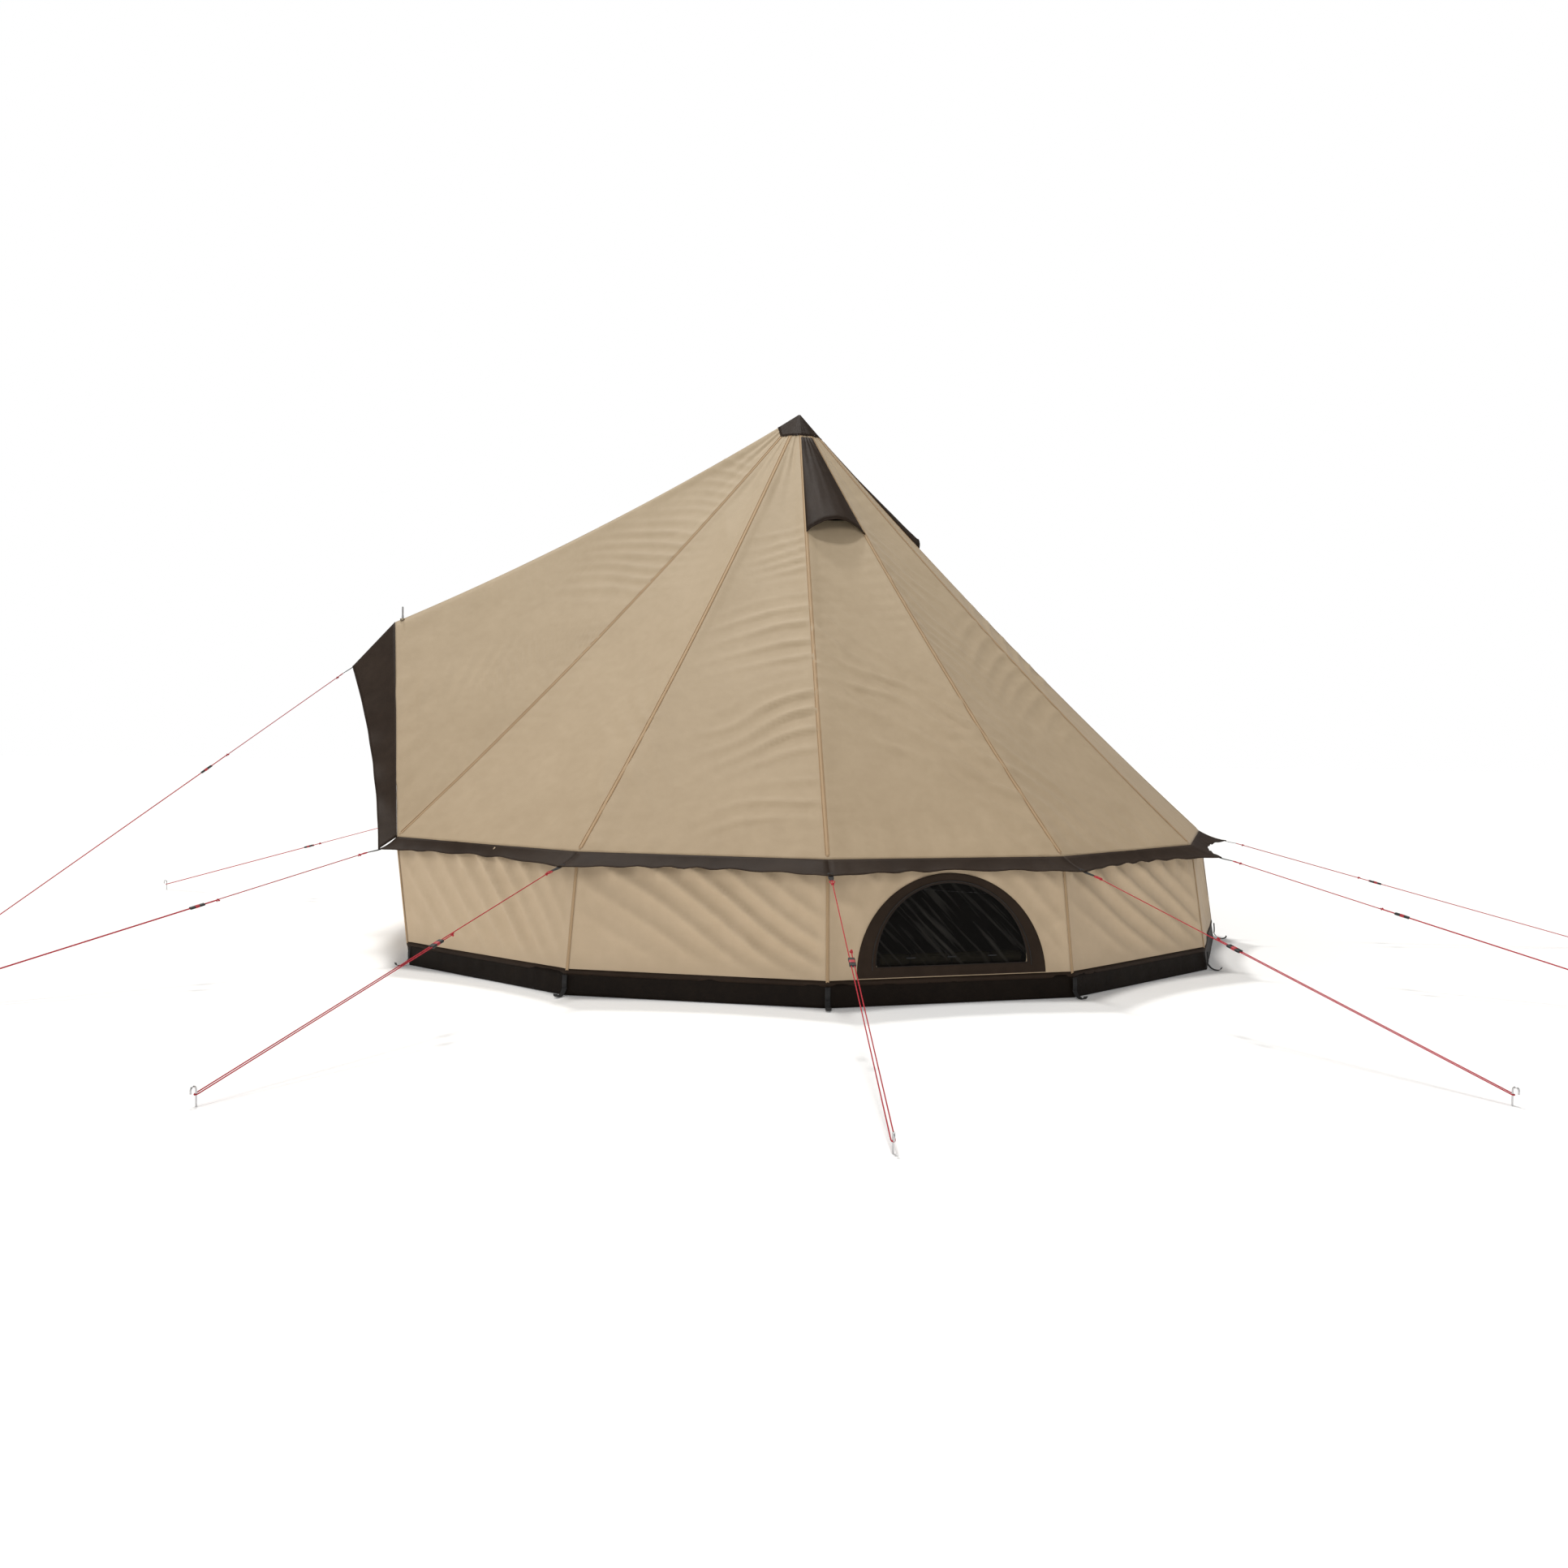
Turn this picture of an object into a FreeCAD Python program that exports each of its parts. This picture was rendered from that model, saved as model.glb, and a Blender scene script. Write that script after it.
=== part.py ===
"""Bell tent on a centre pole, with an A-framed door under a hood, eave flaps and guy lines.

Frame: the origin is on the ground under the centre pole, +Z is up and the door faces -Y.
Every length is in millimetres. Corners of the tent are numbered from 1, at the +X side of the
door, round the back to LAST_CORNER at the -X side of the door.
"""
import FreeCAD, Part
import math
import os

V = FreeCAD.Vector

# Overall shape
APEX_HEIGHT = 2500.0        # top of the outer roof
BASE_RADIUS = 2033.0        # corners of the hem on the ground
EAVE_HEIGHT = 518.0         # where roof and wall meet
WALL_LEAN = 0.1525          # how far the wall leans in for each mm of height
EAVE_RADIUS = BASE_RADIUS - WALL_LEAN * EAVE_HEIGHT
PANEL_COUNT = 11            # equal panels from one side of the door to the other
PANEL_ANGLE = 27.5          # degrees of the plan that a panel takes
SEAM_SAG = 38.0             # how far a roof seam hangs in at its middle
RIDGE_SAG = 45.0            # the same for the ridge over the door

# Door end
DOOR_SETBACK = 42.0         # how far the door front stands inside the corner circle
DOOR_LEAN = 0.11            # how far the front leans out for each mm of height
PEAK_HEIGHT = 1448.0        # top of the door front, under the ridge
DOOR_HALF_WIDTH = 610.0     # half the doorway at the ground
DOOR_TOP = 1380.0           # where the two door flaps meet
FLAP_GAP = 2.0              # clearance beside the closing edge of each door flap
EDGE_GAP = 2.4              # level clearance at its slanting edge
FLAP_LOW = 7.0              # lower edge of the door flaps above the ground
FLAP_SHORT = 40.0           # how far their tops stop below the doorway's point
HOOD_REACH = 190.0          # how far the hood's tip stands out past the peak
HOOD_DROP = 210.0           # how far the tip hangs below the peak
HOOD_HOLLOW = 28.0          # hollow of the hood's free edge

# Cloth
CANVAS = 2.0                # thickness of canvas
ROOF_FALL = 2.8             # height that the roof cloth takes up on its slope
SKIRT_HEIGHT = 85.0
EAVE_FLAP_REACH = 127.0     # flap past the eave at a corner
EAVE_FLAP_DROP = 44.0
EAVE_FLAP_LIFT = EAVE_FLAP_DROP / 3     # rise of the flap's edge between corners
EAVE_FLAP_HOLLOW = 70.0     # how far the flap's edge pulls in between corners
DOOR_FLAP_REACH = 55.0      # flap past the eave at the two door corners
DOOR_FLAP_FORWARD = 65.0    # the same, ahead of the door front
CURVE_STEPS = 6             # straight pieces in the edge of an eave flap or a vent hood
HOOD_STEPS = 8
EYE_RING_RADIUS = 30.0      # hole in the top of the roof over the pole
CAP_SHARE = 0.055           # share of a seam that the apex cap covers
FLOOR_THICKNESS = 3.0
FLOOR_INSET = 26.0          # floor edge inside the hem corners
FLOOR_UPSTAND = 100.0       # height of the floor's raised edge
SILL_INSET = 8.0            # floor edge behind the door front
UPSTAND_GAP = 6.0           # between the raised edge and the wall
LOOP_PROFILE = [(1.5, 30), (14, 12), (32, 3.5), (48, 3), (58, 7), (61, 16)]    # (out, height)
CUT = 10.0                  # how far a cutting shape reaches past a sheet

# Vents and windows, on the panels that start at these corners
OPEN_PANELS = {3: "right", 6: "rear", 9: "left"}
VENT_TOP = 0.060            # shares of the seam from the apex
VENT_BOTTOM = 0.300
VENT_ROWS = 3               # bands of a vent hood from its top to its lip
VENT_BULGE = 52.0           # how far the vent hood is bowed out
VENT_ARCH = 0.012           # rise of the lower lip at its middle, as a share of the seam
VENT_HOLE = (0.13, 0.26)    # netting under the hood, shares of the seam
VENT_HOLE_WIDTH = 0.56      # share of the panel's width
WINDOW_BORDER = 74.0
WINDOW_SILL = 14.0          # straight lower border above the skirt seam
WINDOW_HEADROOM = 47.0      # between the border's top and the eave
WINDOW_RADIUS = EAVE_HEIGHT - SKIRT_HEIGHT - WINDOW_SILL - WINDOW_HEADROOM
BORDER_THICKNESS = 3.0
ROLL_RADIUS = 24.0          # the rolled window cover
ROLL_LENGTH = 560.0
ROLL_GAP = 1.0              # between the roll and the wall
NETTING = 1.0
NETTING_BACK = 0.4          # netting's back, in from the back of the canvas

# Poles
POLE_RADIUS = 16.0
POLE_WALL = 1.5
POLE_SECTIONS = ("lower", "middle", "upper")
SPIGOT_LENGTH = 70.0
FIT = 0.25                  # radial clearance of a spigot
FOOT_RADIUS = 30.0
FOOT_THICKNESS = 12.0
FOOT_BEVEL = 4.0
FOOT_CUP = 30.0
CUP_WALL = 3.0
CAP_GAP = 1.0               # between the pole's cap and the roof
LEG_RADIUS = 9.5
LEG_WALL = 1.2
LEG_INSET = 30.0            # leg axis behind the door front
LEG_FOOT_X = 880.0
CROWN_RADIUS = 17.0
CROWN_DROP = 40.0           # crown's centre below the ridge
SPIKE_RADIUS = 4.0
SPIKE_RISE = 56.0           # spike above the ridge cloth
SPIKE_SHOULDER = 14.0       # height of its thicker foot above the ridge cloth
EYELET_RADIUS = 12.0
EYELET_BORE = 6.0
EYELET_HEIGHT = 6.0

# Guy lines: each route is a list of (out, side, height) from the corner that it leaves
CORD_RADIUS = 1.75
CORNER_GUY = [(46, 0, 462), (1679, 0, 29), (1679, 10, 29), (632, 10, 306.6)]
HOOD_GUY = [(42, 0, 1206), (1612, 0, 29), (1612, 10, 29), (556, 10, 820.7)]
CORNER_GUYS = (1, 2, 3, 4, 5, 6, 11, 12)
CORNER_RUNNER = 703.0       # where a runner's middle sits, out from the corner
HOOD_RUNNER = 645.0
STRAND_SPACING = 10.0       # between the two strands below a runner
RUNNER_LENGTH = 56.0
RUNNER_WIDTH = 21.0
RUNNER_THICKNESS = 9.0
RUNNER_BORE = 2.4
RUNNER_ROUND = 3.0          # radius of its edges
RUNNER_WAIST = 2.0          # depth of the hollow in each long side
BEND_SHARE = 0.45           # share of the shorter run that a cord's bend takes
PEG_RADIUS = 2.5
PEG_NECK = 42.0
PEG_HOOK = 9.0
TAB_WIDTH = 20.0
TAB_THICKNESS = 2.0
TAB_UNDER = 30.0            # length of a tab that is sewn under its corner
TAB_DROP = 1.2              # seam allowance between a tab and the cloth over it

# Door zip
SLIDER_WIDTH = 11.0
SLIDER_LENGTH = 20.0
SLIDER_THICKNESS = 6.0
SLIDER_START = 60.0
SLIDER_GAP = 0.5

LAST_CORNER = PANEL_COUNT + 1
DOOR_HALF_ANGLE = 180.0 - PANEL_COUNT * PANEL_ANGLE / 2
UP = V(0, 0, 1)
parts = {}


# Points of the tent's shape

def azimuth(corner):
    """Angle of a corner from the door's direction, in radians."""
    return math.radians(DOOR_HALF_ANGLE + (corner - 1) * PANEL_ANGLE)


def door_y(z):
    """The door front's place at a height."""
    return DOOR_SETBACK - BASE_RADIUS * math.cos(azimuth(1)) - DOOR_LEAN * z


def ring_point(corner, radius, z):
    """A corner at a radius and height; the two door corners stand on the door front."""
    a = azimuth(corner)
    at_door = corner in (1, LAST_CORNER)
    return V(radius * math.sin(a), door_y(z) if at_door else -radius * math.cos(a), z)


def wall_radius(z):
    return BASE_RADIUS - WALL_LEAN * z


def wall_point(corner, z):
    return ring_point(corner, wall_radius(z), z)


def eave_point(corner):
    return ring_point(corner, EAVE_RADIUS, EAVE_HEIGHT)


def flap_point(corner):
    """Outer corner of the eave flap, where a guy line is tied."""
    eave = eave_point(corner)
    z = EAVE_HEIGHT - EAVE_FLAP_DROP
    if corner not in (1, LAST_CORNER):
        return ring_point(corner, EAVE_RADIUS + EAVE_FLAP_REACH, z)
    side = math.copysign(DOOR_FLAP_REACH, eave.x)
    return V(eave.x + side, eave.y - DOOR_FLAP_FORWARD, z)


def hung(a, b, share, sag):
    """A point of a seam from a to b that hangs down by sag at its middle, in two straight halves."""
    middle = (a + b) / 2 - UP * sag
    if share <= 0.5:
        return a + (middle - a) * (2 * share)
    return middle + (b - middle) * (2 * share - 1)


APEX = V(0, 0, APEX_HEIGHT)
PEAK = V(0, door_y(PEAK_HEIGHT), PEAK_HEIGHT)
TIP = PEAK + V(0, -HOOD_REACH, -HOOD_DROP)


def seam_point(corner, share):
    """A point of a roof seam, as a share of the way from the apex to the eave."""
    drop = SEAM_SAG * math.hypot(EAVE_RADIUS, APEX_HEIGHT - EAVE_HEIGHT) / EAVE_RADIUS
    return hung(APEX, eave_point(corner), share, drop)


def ridge_point(share):
    return hung(APEX, PEAK, share, RIDGE_SAG)


def door_edge(z, side):
    """The doorway's slanting edge at a height, on the side whose sign is given."""
    return V(side * DOOR_HALF_WIDTH * (1 - z / DOOR_TOP), door_y(z), z)


# Building blocks

def face(points):
    return Part.Face(Part.makePolygon(points + points[:1]))


def patch(points):
    """Faces over a convex loop: one if it is flat, or a fan of triangles."""
    normal = (points[1] - points[0]).cross(points[2] - points[0])
    flat = all(abs(normal.dot(p - points[0])) < 1e-7 * normal.Length for p in points)
    if flat:
        return [face(points)]
    return [face([points[0], points[i], points[i + 1]]) for i in range(1, len(points) - 1)]


def closed(faces):
    solid = Part.Solid(Part.Shell(faces))
    if solid.Volume < 0:
        solid.reverse()
    return solid


def slab(outer, inner):
    """Closed solid between two convex loops of as many points."""
    faces = patch(outer) + patch(inner[::-1])
    for i in range(len(outer)):
        j = (i + 1) % len(outer)
        faces += patch([outer[i], inner[i], inner[j], outer[j]])
    return closed(faces)


def cloth(top, under):
    """Closed sheet between two grids of points, rows by columns."""
    rows, columns = len(top), len(top[0])
    faces = []
    for i in range(rows - 1):
        for j in range(columns - 1):
            for grid in (top, under):
                faces += patch([grid[i][j], grid[i][j + 1], grid[i + 1][j + 1], grid[i + 1][j]])
    for i in range(rows - 1):
        for j in (0, columns - 1):
            faces += patch([top[i][j], top[i + 1][j], under[i + 1][j], under[i][j]])
    for j in range(columns - 1):
        for i in (0, rows - 1):
            faces += patch([top[i][j], top[i][j + 1], under[i][j + 1], under[i][j]])
    return closed(faces)


def lowered(points, depth=ROOF_FALL):
    return [p - UP * depth for p in points]


def inward(points, depth=CANVAS):
    """The points moved level towards the pole's axis."""
    return [p - V(p.x, p.y, 0).normalize() * depth for p in points]


def group(shapes):
    return shapes[0] if len(shapes) == 1 else Part.makeCompound(shapes)


def cylinder(radius, start, end):
    return Part.makeCylinder(radius, (end - start).Length, start, end - start)


def tube(radius, wall, start, end):
    return cylinder(radius, start, end).cut(cylinder(radius - wall, start, end))


def plane_of(corner, low, high):
    """Placement whose XY plane is a panel's outer face: origin at the middle of its lower edge,
    X along the edge, Y up the face and Z outwards."""
    a, b = low(corner), low(corner + 1)
    x = (b - a).normalize()
    rise = (high(corner) + high(corner + 1)) / 2 - (a + b) / 2
    y = (rise - x * rise.dot(x)).normalize()
    z = x.cross(y)
    middle = (a + b) / 2
    matrix = FreeCAD.Matrix(x.x, y.x, z.x, middle.x, x.y, y.y, z.y, middle.y,
                            x.z, y.z, z.z, middle.z, 0, 0, 0, 1)
    return FreeCAD.Placement(matrix)


# Cloth parts

def roof_panel(corner):
    """One roof panel, with a bend where its seams hang in."""
    top_share = EYE_RING_RADIUS / EAVE_RADIUS
    rows = [[seam_point(corner, s), seam_point(corner + 1, s)] for s in (top_share, 0.5, 1.0)]
    return cloth(rows, [lowered(r) for r in rows])


def vent_outline(corner):
    """Corners of the netting in a roof panel."""
    points = []
    for share, order in ((VENT_HOLE[0], (1, -1)), (VENT_HOLE[1], (-1, 1))):
        a, b = seam_point(corner, share), seam_point(corner + 1, share)
        points += [(a + b) / 2 + (b - a) * (side * VENT_HOLE_WIDTH / 2) for side in order]
    return points


def upper_normal(corner):
    """Outward normal of the upper half of a roof panel."""
    a, b = seam_point(corner, 0.5), seam_point(corner + 1, 0.5)
    return (b - a).cross(seam_point(corner, 0.1) - a).normalize()


def vent_hood(corner):
    """Bowed hood over a vent: it lies on the seams and stands off the panel between them."""
    out = upper_normal(corner)
    top, under = [], []
    for i in range(VENT_ROWS + 1):
        row = []
        for j in range(CURVE_STEPS + 1):
            across = j / CURVE_STEPS
            bow = 1 - (2 * across - 1) ** 2
            down = i / VENT_ROWS
            share = VENT_TOP + (VENT_BOTTOM - VENT_ARCH * bow - VENT_TOP) * down
            a, b = seam_point(corner, share), seam_point(corner + 1, share)
            row.append(a + (b - a) * across + out * (VENT_BULGE * bow * down))
        under.append(row)
        top.append([p + out * CANVAS for p in row])
    return cloth(top, under)


def wall_panel(corner):
    top = EAVE_HEIGHT - ROOF_FALL
    outer = [wall_point(corner, SKIRT_HEIGHT), wall_point(corner + 1, SKIRT_HEIGHT),
             ring_point(corner + 1, EAVE_RADIUS, top), ring_point(corner, EAVE_RADIUS, top)]
    return slab(outer, inward(outer))


def window_plane(corner):
    return plane_of(corner, lambda c: wall_point(c, SKIRT_HEIGHT),
                    lambda c: ring_point(c, EAVE_RADIUS, EAVE_HEIGHT - ROOF_FALL))


def half_disc(radius, sill, depth, below):
    """Half disc that stands on a line at height sill, from below the XY plane up by depth."""
    left, right, top = V(-radius, sill, below), V(radius, sill, below), V(0, radius + sill, below)
    edges = [Part.LineSegment(left, right).toShape(), Part.Arc(right, top, left).toShape()]
    return Part.Face(Part.Wire(edges)).extrude(V(0, 0, depth))


def window_hole(thickness, below):
    return half_disc(WINDOW_RADIUS - WINDOW_BORDER, WINDOW_SILL + WINDOW_BORDER / 2, thickness, below)


def placed(shape, placement):
    shape = shape.copy()
    shape.Placement = placement
    return shape


def window_border(corner):
    ring = half_disc(WINDOW_RADIUS, WINDOW_SILL, BORDER_THICKNESS, 0)
    return placed(ring.cut(window_hole(BORDER_THICKNESS, 0)), window_plane(corner))


def window_roll(corner):
    """The cover, rolled down inside along the sill."""
    y = WINDOW_SILL + WINDOW_BORDER / 2 + ROLL_RADIUS
    z = -(CANVAS + ROLL_RADIUS + ROLL_GAP)
    roll = cylinder(ROLL_RADIUS, V(-ROLL_LENGTH / 2, y, z), V(ROLL_LENGTH / 2, y, z))
    return placed(roll, window_plane(corner))


def eave_flap(corner):
    """Flap between two corners, narrow at its middle."""
    rows = []
    for i in range(CURVE_STEPS + 1):
        share = i / CURVE_STEPS
        inner = eave_point(corner) * (1 - share) + eave_point(corner + 1) * share
        outer = flap_point(corner) * (1 - share) + flap_point(corner + 1) * share
        hollow = 4 * share * (1 - share)
        level = V(outer.x, outer.y, 0).normalize()
        outer = outer - level * (EAVE_FLAP_HOLLOW * hollow) + UP * (EAVE_FLAP_LIFT * hollow)
        rows.append([inner, outer])
    return cloth(rows, [lowered(r) for r in rows])


def hood_wing(side):
    """One side of the hood, from the ridge's end down to the door corner of the eave."""
    corner = 1 if side > 0 else LAST_CORNER
    rows = []
    for i in range(HOOD_STEPS + 1):
        share = i / HOOD_STEPS
        inner = PEAK + (eave_point(corner) - PEAK) * share
        hollow = 4 * share * (1 - share) * HOOD_HOLLOW
        outer = TIP + (flap_point(corner) - TIP) * share + V(0, hollow, 0)
        rows.append([inner, outer])
    return cloth(rows, [lowered(r) for r in rows])


def gable(side):
    """Roof between the ridge and the door corner's seam."""
    corner = 1 if side > 0 else LAST_CORNER
    top_share = EYE_RING_RADIUS / EAVE_RADIUS
    rows = [[ridge_point(s), seam_point(corner, s)] for s in (top_share, 0.5, 1.0)]
    return cloth(rows, [lowered(r) for r in rows])


def front_side(side):
    """Fixed cloth beside the doorway."""
    corner = 1 if side > 0 else LAST_CORNER
    top = lowered([eave_point(corner), PEAK])
    outer = [wall_point(corner, SKIRT_HEIGHT), *top, door_edge(DOOR_TOP, side),
             door_edge(SKIRT_HEIGHT, side)]
    return slab(outer, inward(outer))


def skirt():
    """Dark hem all round, except at the doorway."""
    strips = []
    for corner in range(1, LAST_CORNER):
        strips.append([wall_point(corner, 0), wall_point(corner + 1, 0),
                       wall_point(corner + 1, SKIRT_HEIGHT), wall_point(corner, SKIRT_HEIGHT)])
    for side, corner in ((1, 1), (-1, LAST_CORNER)):
        strips.append([wall_point(corner, 0), wall_point(corner, SKIRT_HEIGHT),
                       door_edge(SKIRT_HEIGHT, side), door_edge(0, side)])
    return group([slab(s, inward(s)) for s in strips])


def apex_cap():
    """Cone over the top of the roof, lying on its cloth."""
    ring = [ridge_point(CAP_SHARE)]
    ring += [seam_point(c, CAP_SHARE) for c in range(1, LAST_CORNER + 1)]
    ring_out = [p + UP * ROOF_FALL for p in ring]
    faces = []
    for tip, loop in ((APEX, ring), (APEX + UP * ROOF_FALL, ring_out)):
        faces += [face([tip, loop[i], loop[(i + 1) % len(loop)]]) for i in range(len(loop))]
    for i in range(len(ring)):
        j = (i + 1) % len(ring)
        faces += patch([ring[i], ring_out[i], ring_out[j], ring[j]])
    return closed(faces)


def door_flap(side):
    """Half of the door, hung on the doorway's slanting edge."""
    low, high = FLAP_LOW, DOOR_TOP - FLAP_SHORT
    gap = V(side * EDGE_GAP, 0, 0)
    outer = [V(side * FLAP_GAP, door_y(low), low), door_edge(low, side) - gap,
             door_edge(high, side) - gap, V(side * FLAP_GAP, door_y(high), high)]
    return slab(outer, [p + V(0, CANVAS, 0) for p in outer])


def floor_point(corner):
    return ring_point(corner, BASE_RADIUS - FLOOR_INSET, 0)


def groundsheet():
    inset = V(0, SILL_INSET, 0)
    loop = [floor_point(c) for c in range(1, LAST_CORNER + 1)]
    loop[0], loop[-1] = loop[0] + inset, loop[-1] + inset
    return slab(loop, [p + UP * FLOOR_THICKNESS for p in loop]), loop


def upstand(loop):
    """Raised edge of the floor, a strip for each side, leaning on the wall."""
    top = []
    for corner in range(1, LAST_CORNER + 1):
        top += inward([wall_point(corner, FLOOR_UPSTAND)], CANVAS + UPSTAND_GAP)
    strips = []
    for i in range(LAST_CORNER):
        j = (i + 1) % LAST_CORNER
        feet = [loop[i] + UP * FLOOR_THICKNESS, loop[j] + UP * FLOOR_THICKNESS]
        outer = [*feet, top[j], top[i]]
        if j == 0:
            height = UP * (SKIRT_HEIGHT - FLOOR_THICKNESS)
            outer = [*feet, feet[1] + height, feet[0] + height]
        strips.append(slab(outer, inward(outer)))
    return group(strips)


def hem_loops():
    """Webbing at each hem corner, out along the ground and curled up at its end."""
    loops = []
    for corner in range(1, LAST_CORNER + 1):
        foot = wall_point(corner, 0)
        out = V(foot.x, foot.y, 0).normalize()
        across = out.cross(UP) * (TAB_WIDTH / 2)
        rows = [[foot + out * u + UP * z - across, foot + out * u + UP * z + across]
                for u, z in LOOP_PROFILE]
        loops.append(cloth(rows, [lowered(r, TAB_THICKNESS) for r in rows]))
    return group(loops)


# Poles

def pole_heights():
    """Ends of the pole's sections, from the foot to the cap."""
    low = FLOOR_THICKNESS + FOOT_THICKNESS
    high = centre_cap_base()
    count = len(POLE_SECTIONS)
    return [low + (high - low) * i / count for i in range(count + 1)]


def roof_under(radius):
    """Height of the roof's under side over the pole, at the steepest seam."""
    low = seam_point(2, 0.5)
    slope = (APEX_HEIGHT - low.z) / math.hypot(low.x, low.y)
    return APEX_HEIGHT - slope * radius / math.cos(math.radians(PANEL_ANGLE / 2)) - ROOF_FALL


def centre_cap_base():
    return roof_under(POLE_RADIUS + CUP_WALL) - 2 * FOOT_THICKNESS


def pole_section(index):
    """A tube; all but the lowest end in a spigot that slides into the tube below."""
    heights = pole_heights()
    low, high = V(0, 0, heights[index]), V(0, 0, heights[index + 1])
    body = tube(POLE_RADIUS, POLE_WALL, low, high)
    if index == 0:
        return body
    spigot = POLE_RADIUS - POLE_WALL - FIT
    neck = tube(spigot, POLE_WALL, low - UP * SPIGOT_LENGTH, low + UP * POLE_RADIUS)
    collar = tube(POLE_RADIUS - POLE_WALL / 2, POLE_WALL / 2 + FIT, low, low + UP * POLE_RADIUS)
    return body.fuse([collar, neck]).removeSplitter()


def centre_foot():
    """Flanged foot with a cup that the pole stands in."""
    ground = V(0, 0, FLOOR_THICKNESS)
    seat = ground + UP * FOOT_THICKNESS
    base = Part.makeCone(FOOT_RADIUS, FOOT_RADIUS - FOOT_BEVEL, FOOT_THICKNESS, ground)
    cup = cylinder(POLE_RADIUS + CUP_WALL, seat, seat + UP * FOOT_CUP)
    bore = cylinder(POLE_RADIUS + FIT, seat, seat + UP * FOOT_CUP)
    return base.fuse(cup).cut(bore).removeSplitter()


def centre_cap():
    """Pole top: a cup on the tube and a cone that carries the roof."""
    seat = centre_cap_base()
    wide = POLE_RADIUS + CUP_WALL
    shoulder = V(0, 0, roof_under(wide) - CAP_GAP)
    cup = cylinder(wide, V(0, 0, seat - FOOT_CUP), shoulder)
    rise = roof_under(SPIKE_RADIUS) - roof_under(wide)
    cone = Part.makeCone(wide, SPIKE_RADIUS, rise, shoulder)
    bore = cylinder(POLE_RADIUS + FIT, V(0, 0, seat - FOOT_CUP), V(0, 0, seat))
    return cup.fuse(cone).cut(bore).removeSplitter()


def crown_centre():
    z = PEAK_HEIGHT - CROWN_DROP
    return V(0, door_y(z) + LEG_INSET, z)


def leg_foot(side):
    z = FLOOR_THICKNESS + FOOT_THICKNESS
    return V(side * LEG_FOOT_X, door_y(z) + LEG_INSET, z)


def leg_line(side):
    """(start, end, direction) of a door leg's tube, from its foot to the crown."""
    start, end = leg_foot(side), crown_centre()
    way = (end - start).normalize()
    return start, end - way * CROWN_RADIUS, way


def door_leg(side):
    start, end, way = leg_line(side)
    return tube(LEG_RADIUS, LEG_WALL, start, end)


def leg_caps():
    """Caps on the two legs' ends, flat on the floor."""
    caps = []
    for side in (1, -1):
        start, end, way = leg_line(side)
        outer = LEG_RADIUS + CUP_WALL
        cap = cylinder(outer, start - way * FOOT_THICKNESS * 2, start + way * FOOT_CUP)
        bore = cylinder(LEG_RADIUS + FIT, start, start + way * FOOT_CUP)
        floor = V(start.x, start.y, FLOOR_THICKNESS)
        below = cylinder(FOOT_CUP + outer, floor - UP * FOOT_CUP, floor)
        caps.append(cap.cut(bore).cut(below))
    return group(caps)


def spike_foot():
    """Where the spike leaves the ridge cloth."""
    y = crown_centre().y
    share = 0.5 + 0.5 * (y - ridge_point(0.5).y) / (PEAK.y - ridge_point(0.5).y)
    return ridge_point(share)


def door_crown():
    """Hub with a spigot for each leg and a shouldered spike up through the ridge."""
    centre = crown_centre()
    shape = Part.makeSphere(CROWN_RADIUS, centre)
    spigot = LEG_RADIUS - LEG_WALL - FIT
    for side in (1, -1):
        start, end, way = leg_line(side)
        shape = shape.fuse(cylinder(spigot, centre, end - way * SPIGOT_LENGTH))
    ridge = V(0, centre.y, spike_foot().z)
    top = ridge + UP * SPIKE_RISE
    shoulder = cylinder(SPIKE_RADIUS + 1, centre, ridge + UP * SPIKE_SHOULDER)
    shaft = cylinder(SPIKE_RADIUS, ridge, top - UP * SPIKE_RADIUS)
    nose = Part.makeCone(SPIKE_RADIUS, SPIKE_RADIUS / 3, SPIKE_RADIUS, top - UP * SPIKE_RADIUS)
    return shape.fuse([shoulder, shaft, nose]).removeSplitter()


def eyelet_tube(radius):
    """Upright cylinder through the ridge cloth at the spike."""
    foot = spike_foot()
    return cylinder(radius, foot - UP * (2 * CUT), foot + UP * (2 * CUT))


def ridge_eyelet():
    foot = spike_foot()
    return tube(EYELET_RADIUS, EYELET_RADIUS - EYELET_BORE, foot - UP * EYELET_HEIGHT, foot)


# Guy lines

def guy_frame(start):
    """(origin, outward direction, sideways direction) of a guy line's route."""
    out = V(start.x, start.y, 0).normalize()
    return V(start.x, start.y, 0), out, UP.cross(out)


def route_points(start, route):
    origin, out, side = guy_frame(start)
    return [origin + out * u + side * s + UP * z for u, s, z in route]


def cord_path(name, points):
    """Straight runs joined by tangent arcs, as large as the shorter run at each point allows."""
    edges, at, radii = [], points[0], []
    for a, b, c in zip(points, points[1:], points[2:]):
        back, on = (a - b).normalize(), (c - b).normalize()
        turn = math.pi - back.getAngle(on)
        reach = BEND_SHARE * min((a - b).Length, (c - b).Length)
        radii.append(reach / math.tan(turn / 2))
        start, end = b + back * reach, b + on * reach
        bisector = (back + on).normalize()
        to_centre = math.hypot(reach, radii[-1])
        middle = b + bisector * (to_centre - radii[-1])
        edges += [Part.LineSegment(at, start).toShape(), Part.Arc(start, middle, end).toShape()]
        at = end
    edges.append(Part.LineSegment(at, points[-1]).toShape())
    print(name, "radii", [round(r, 1) for r in radii])
    return Part.Wire(edges)


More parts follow.
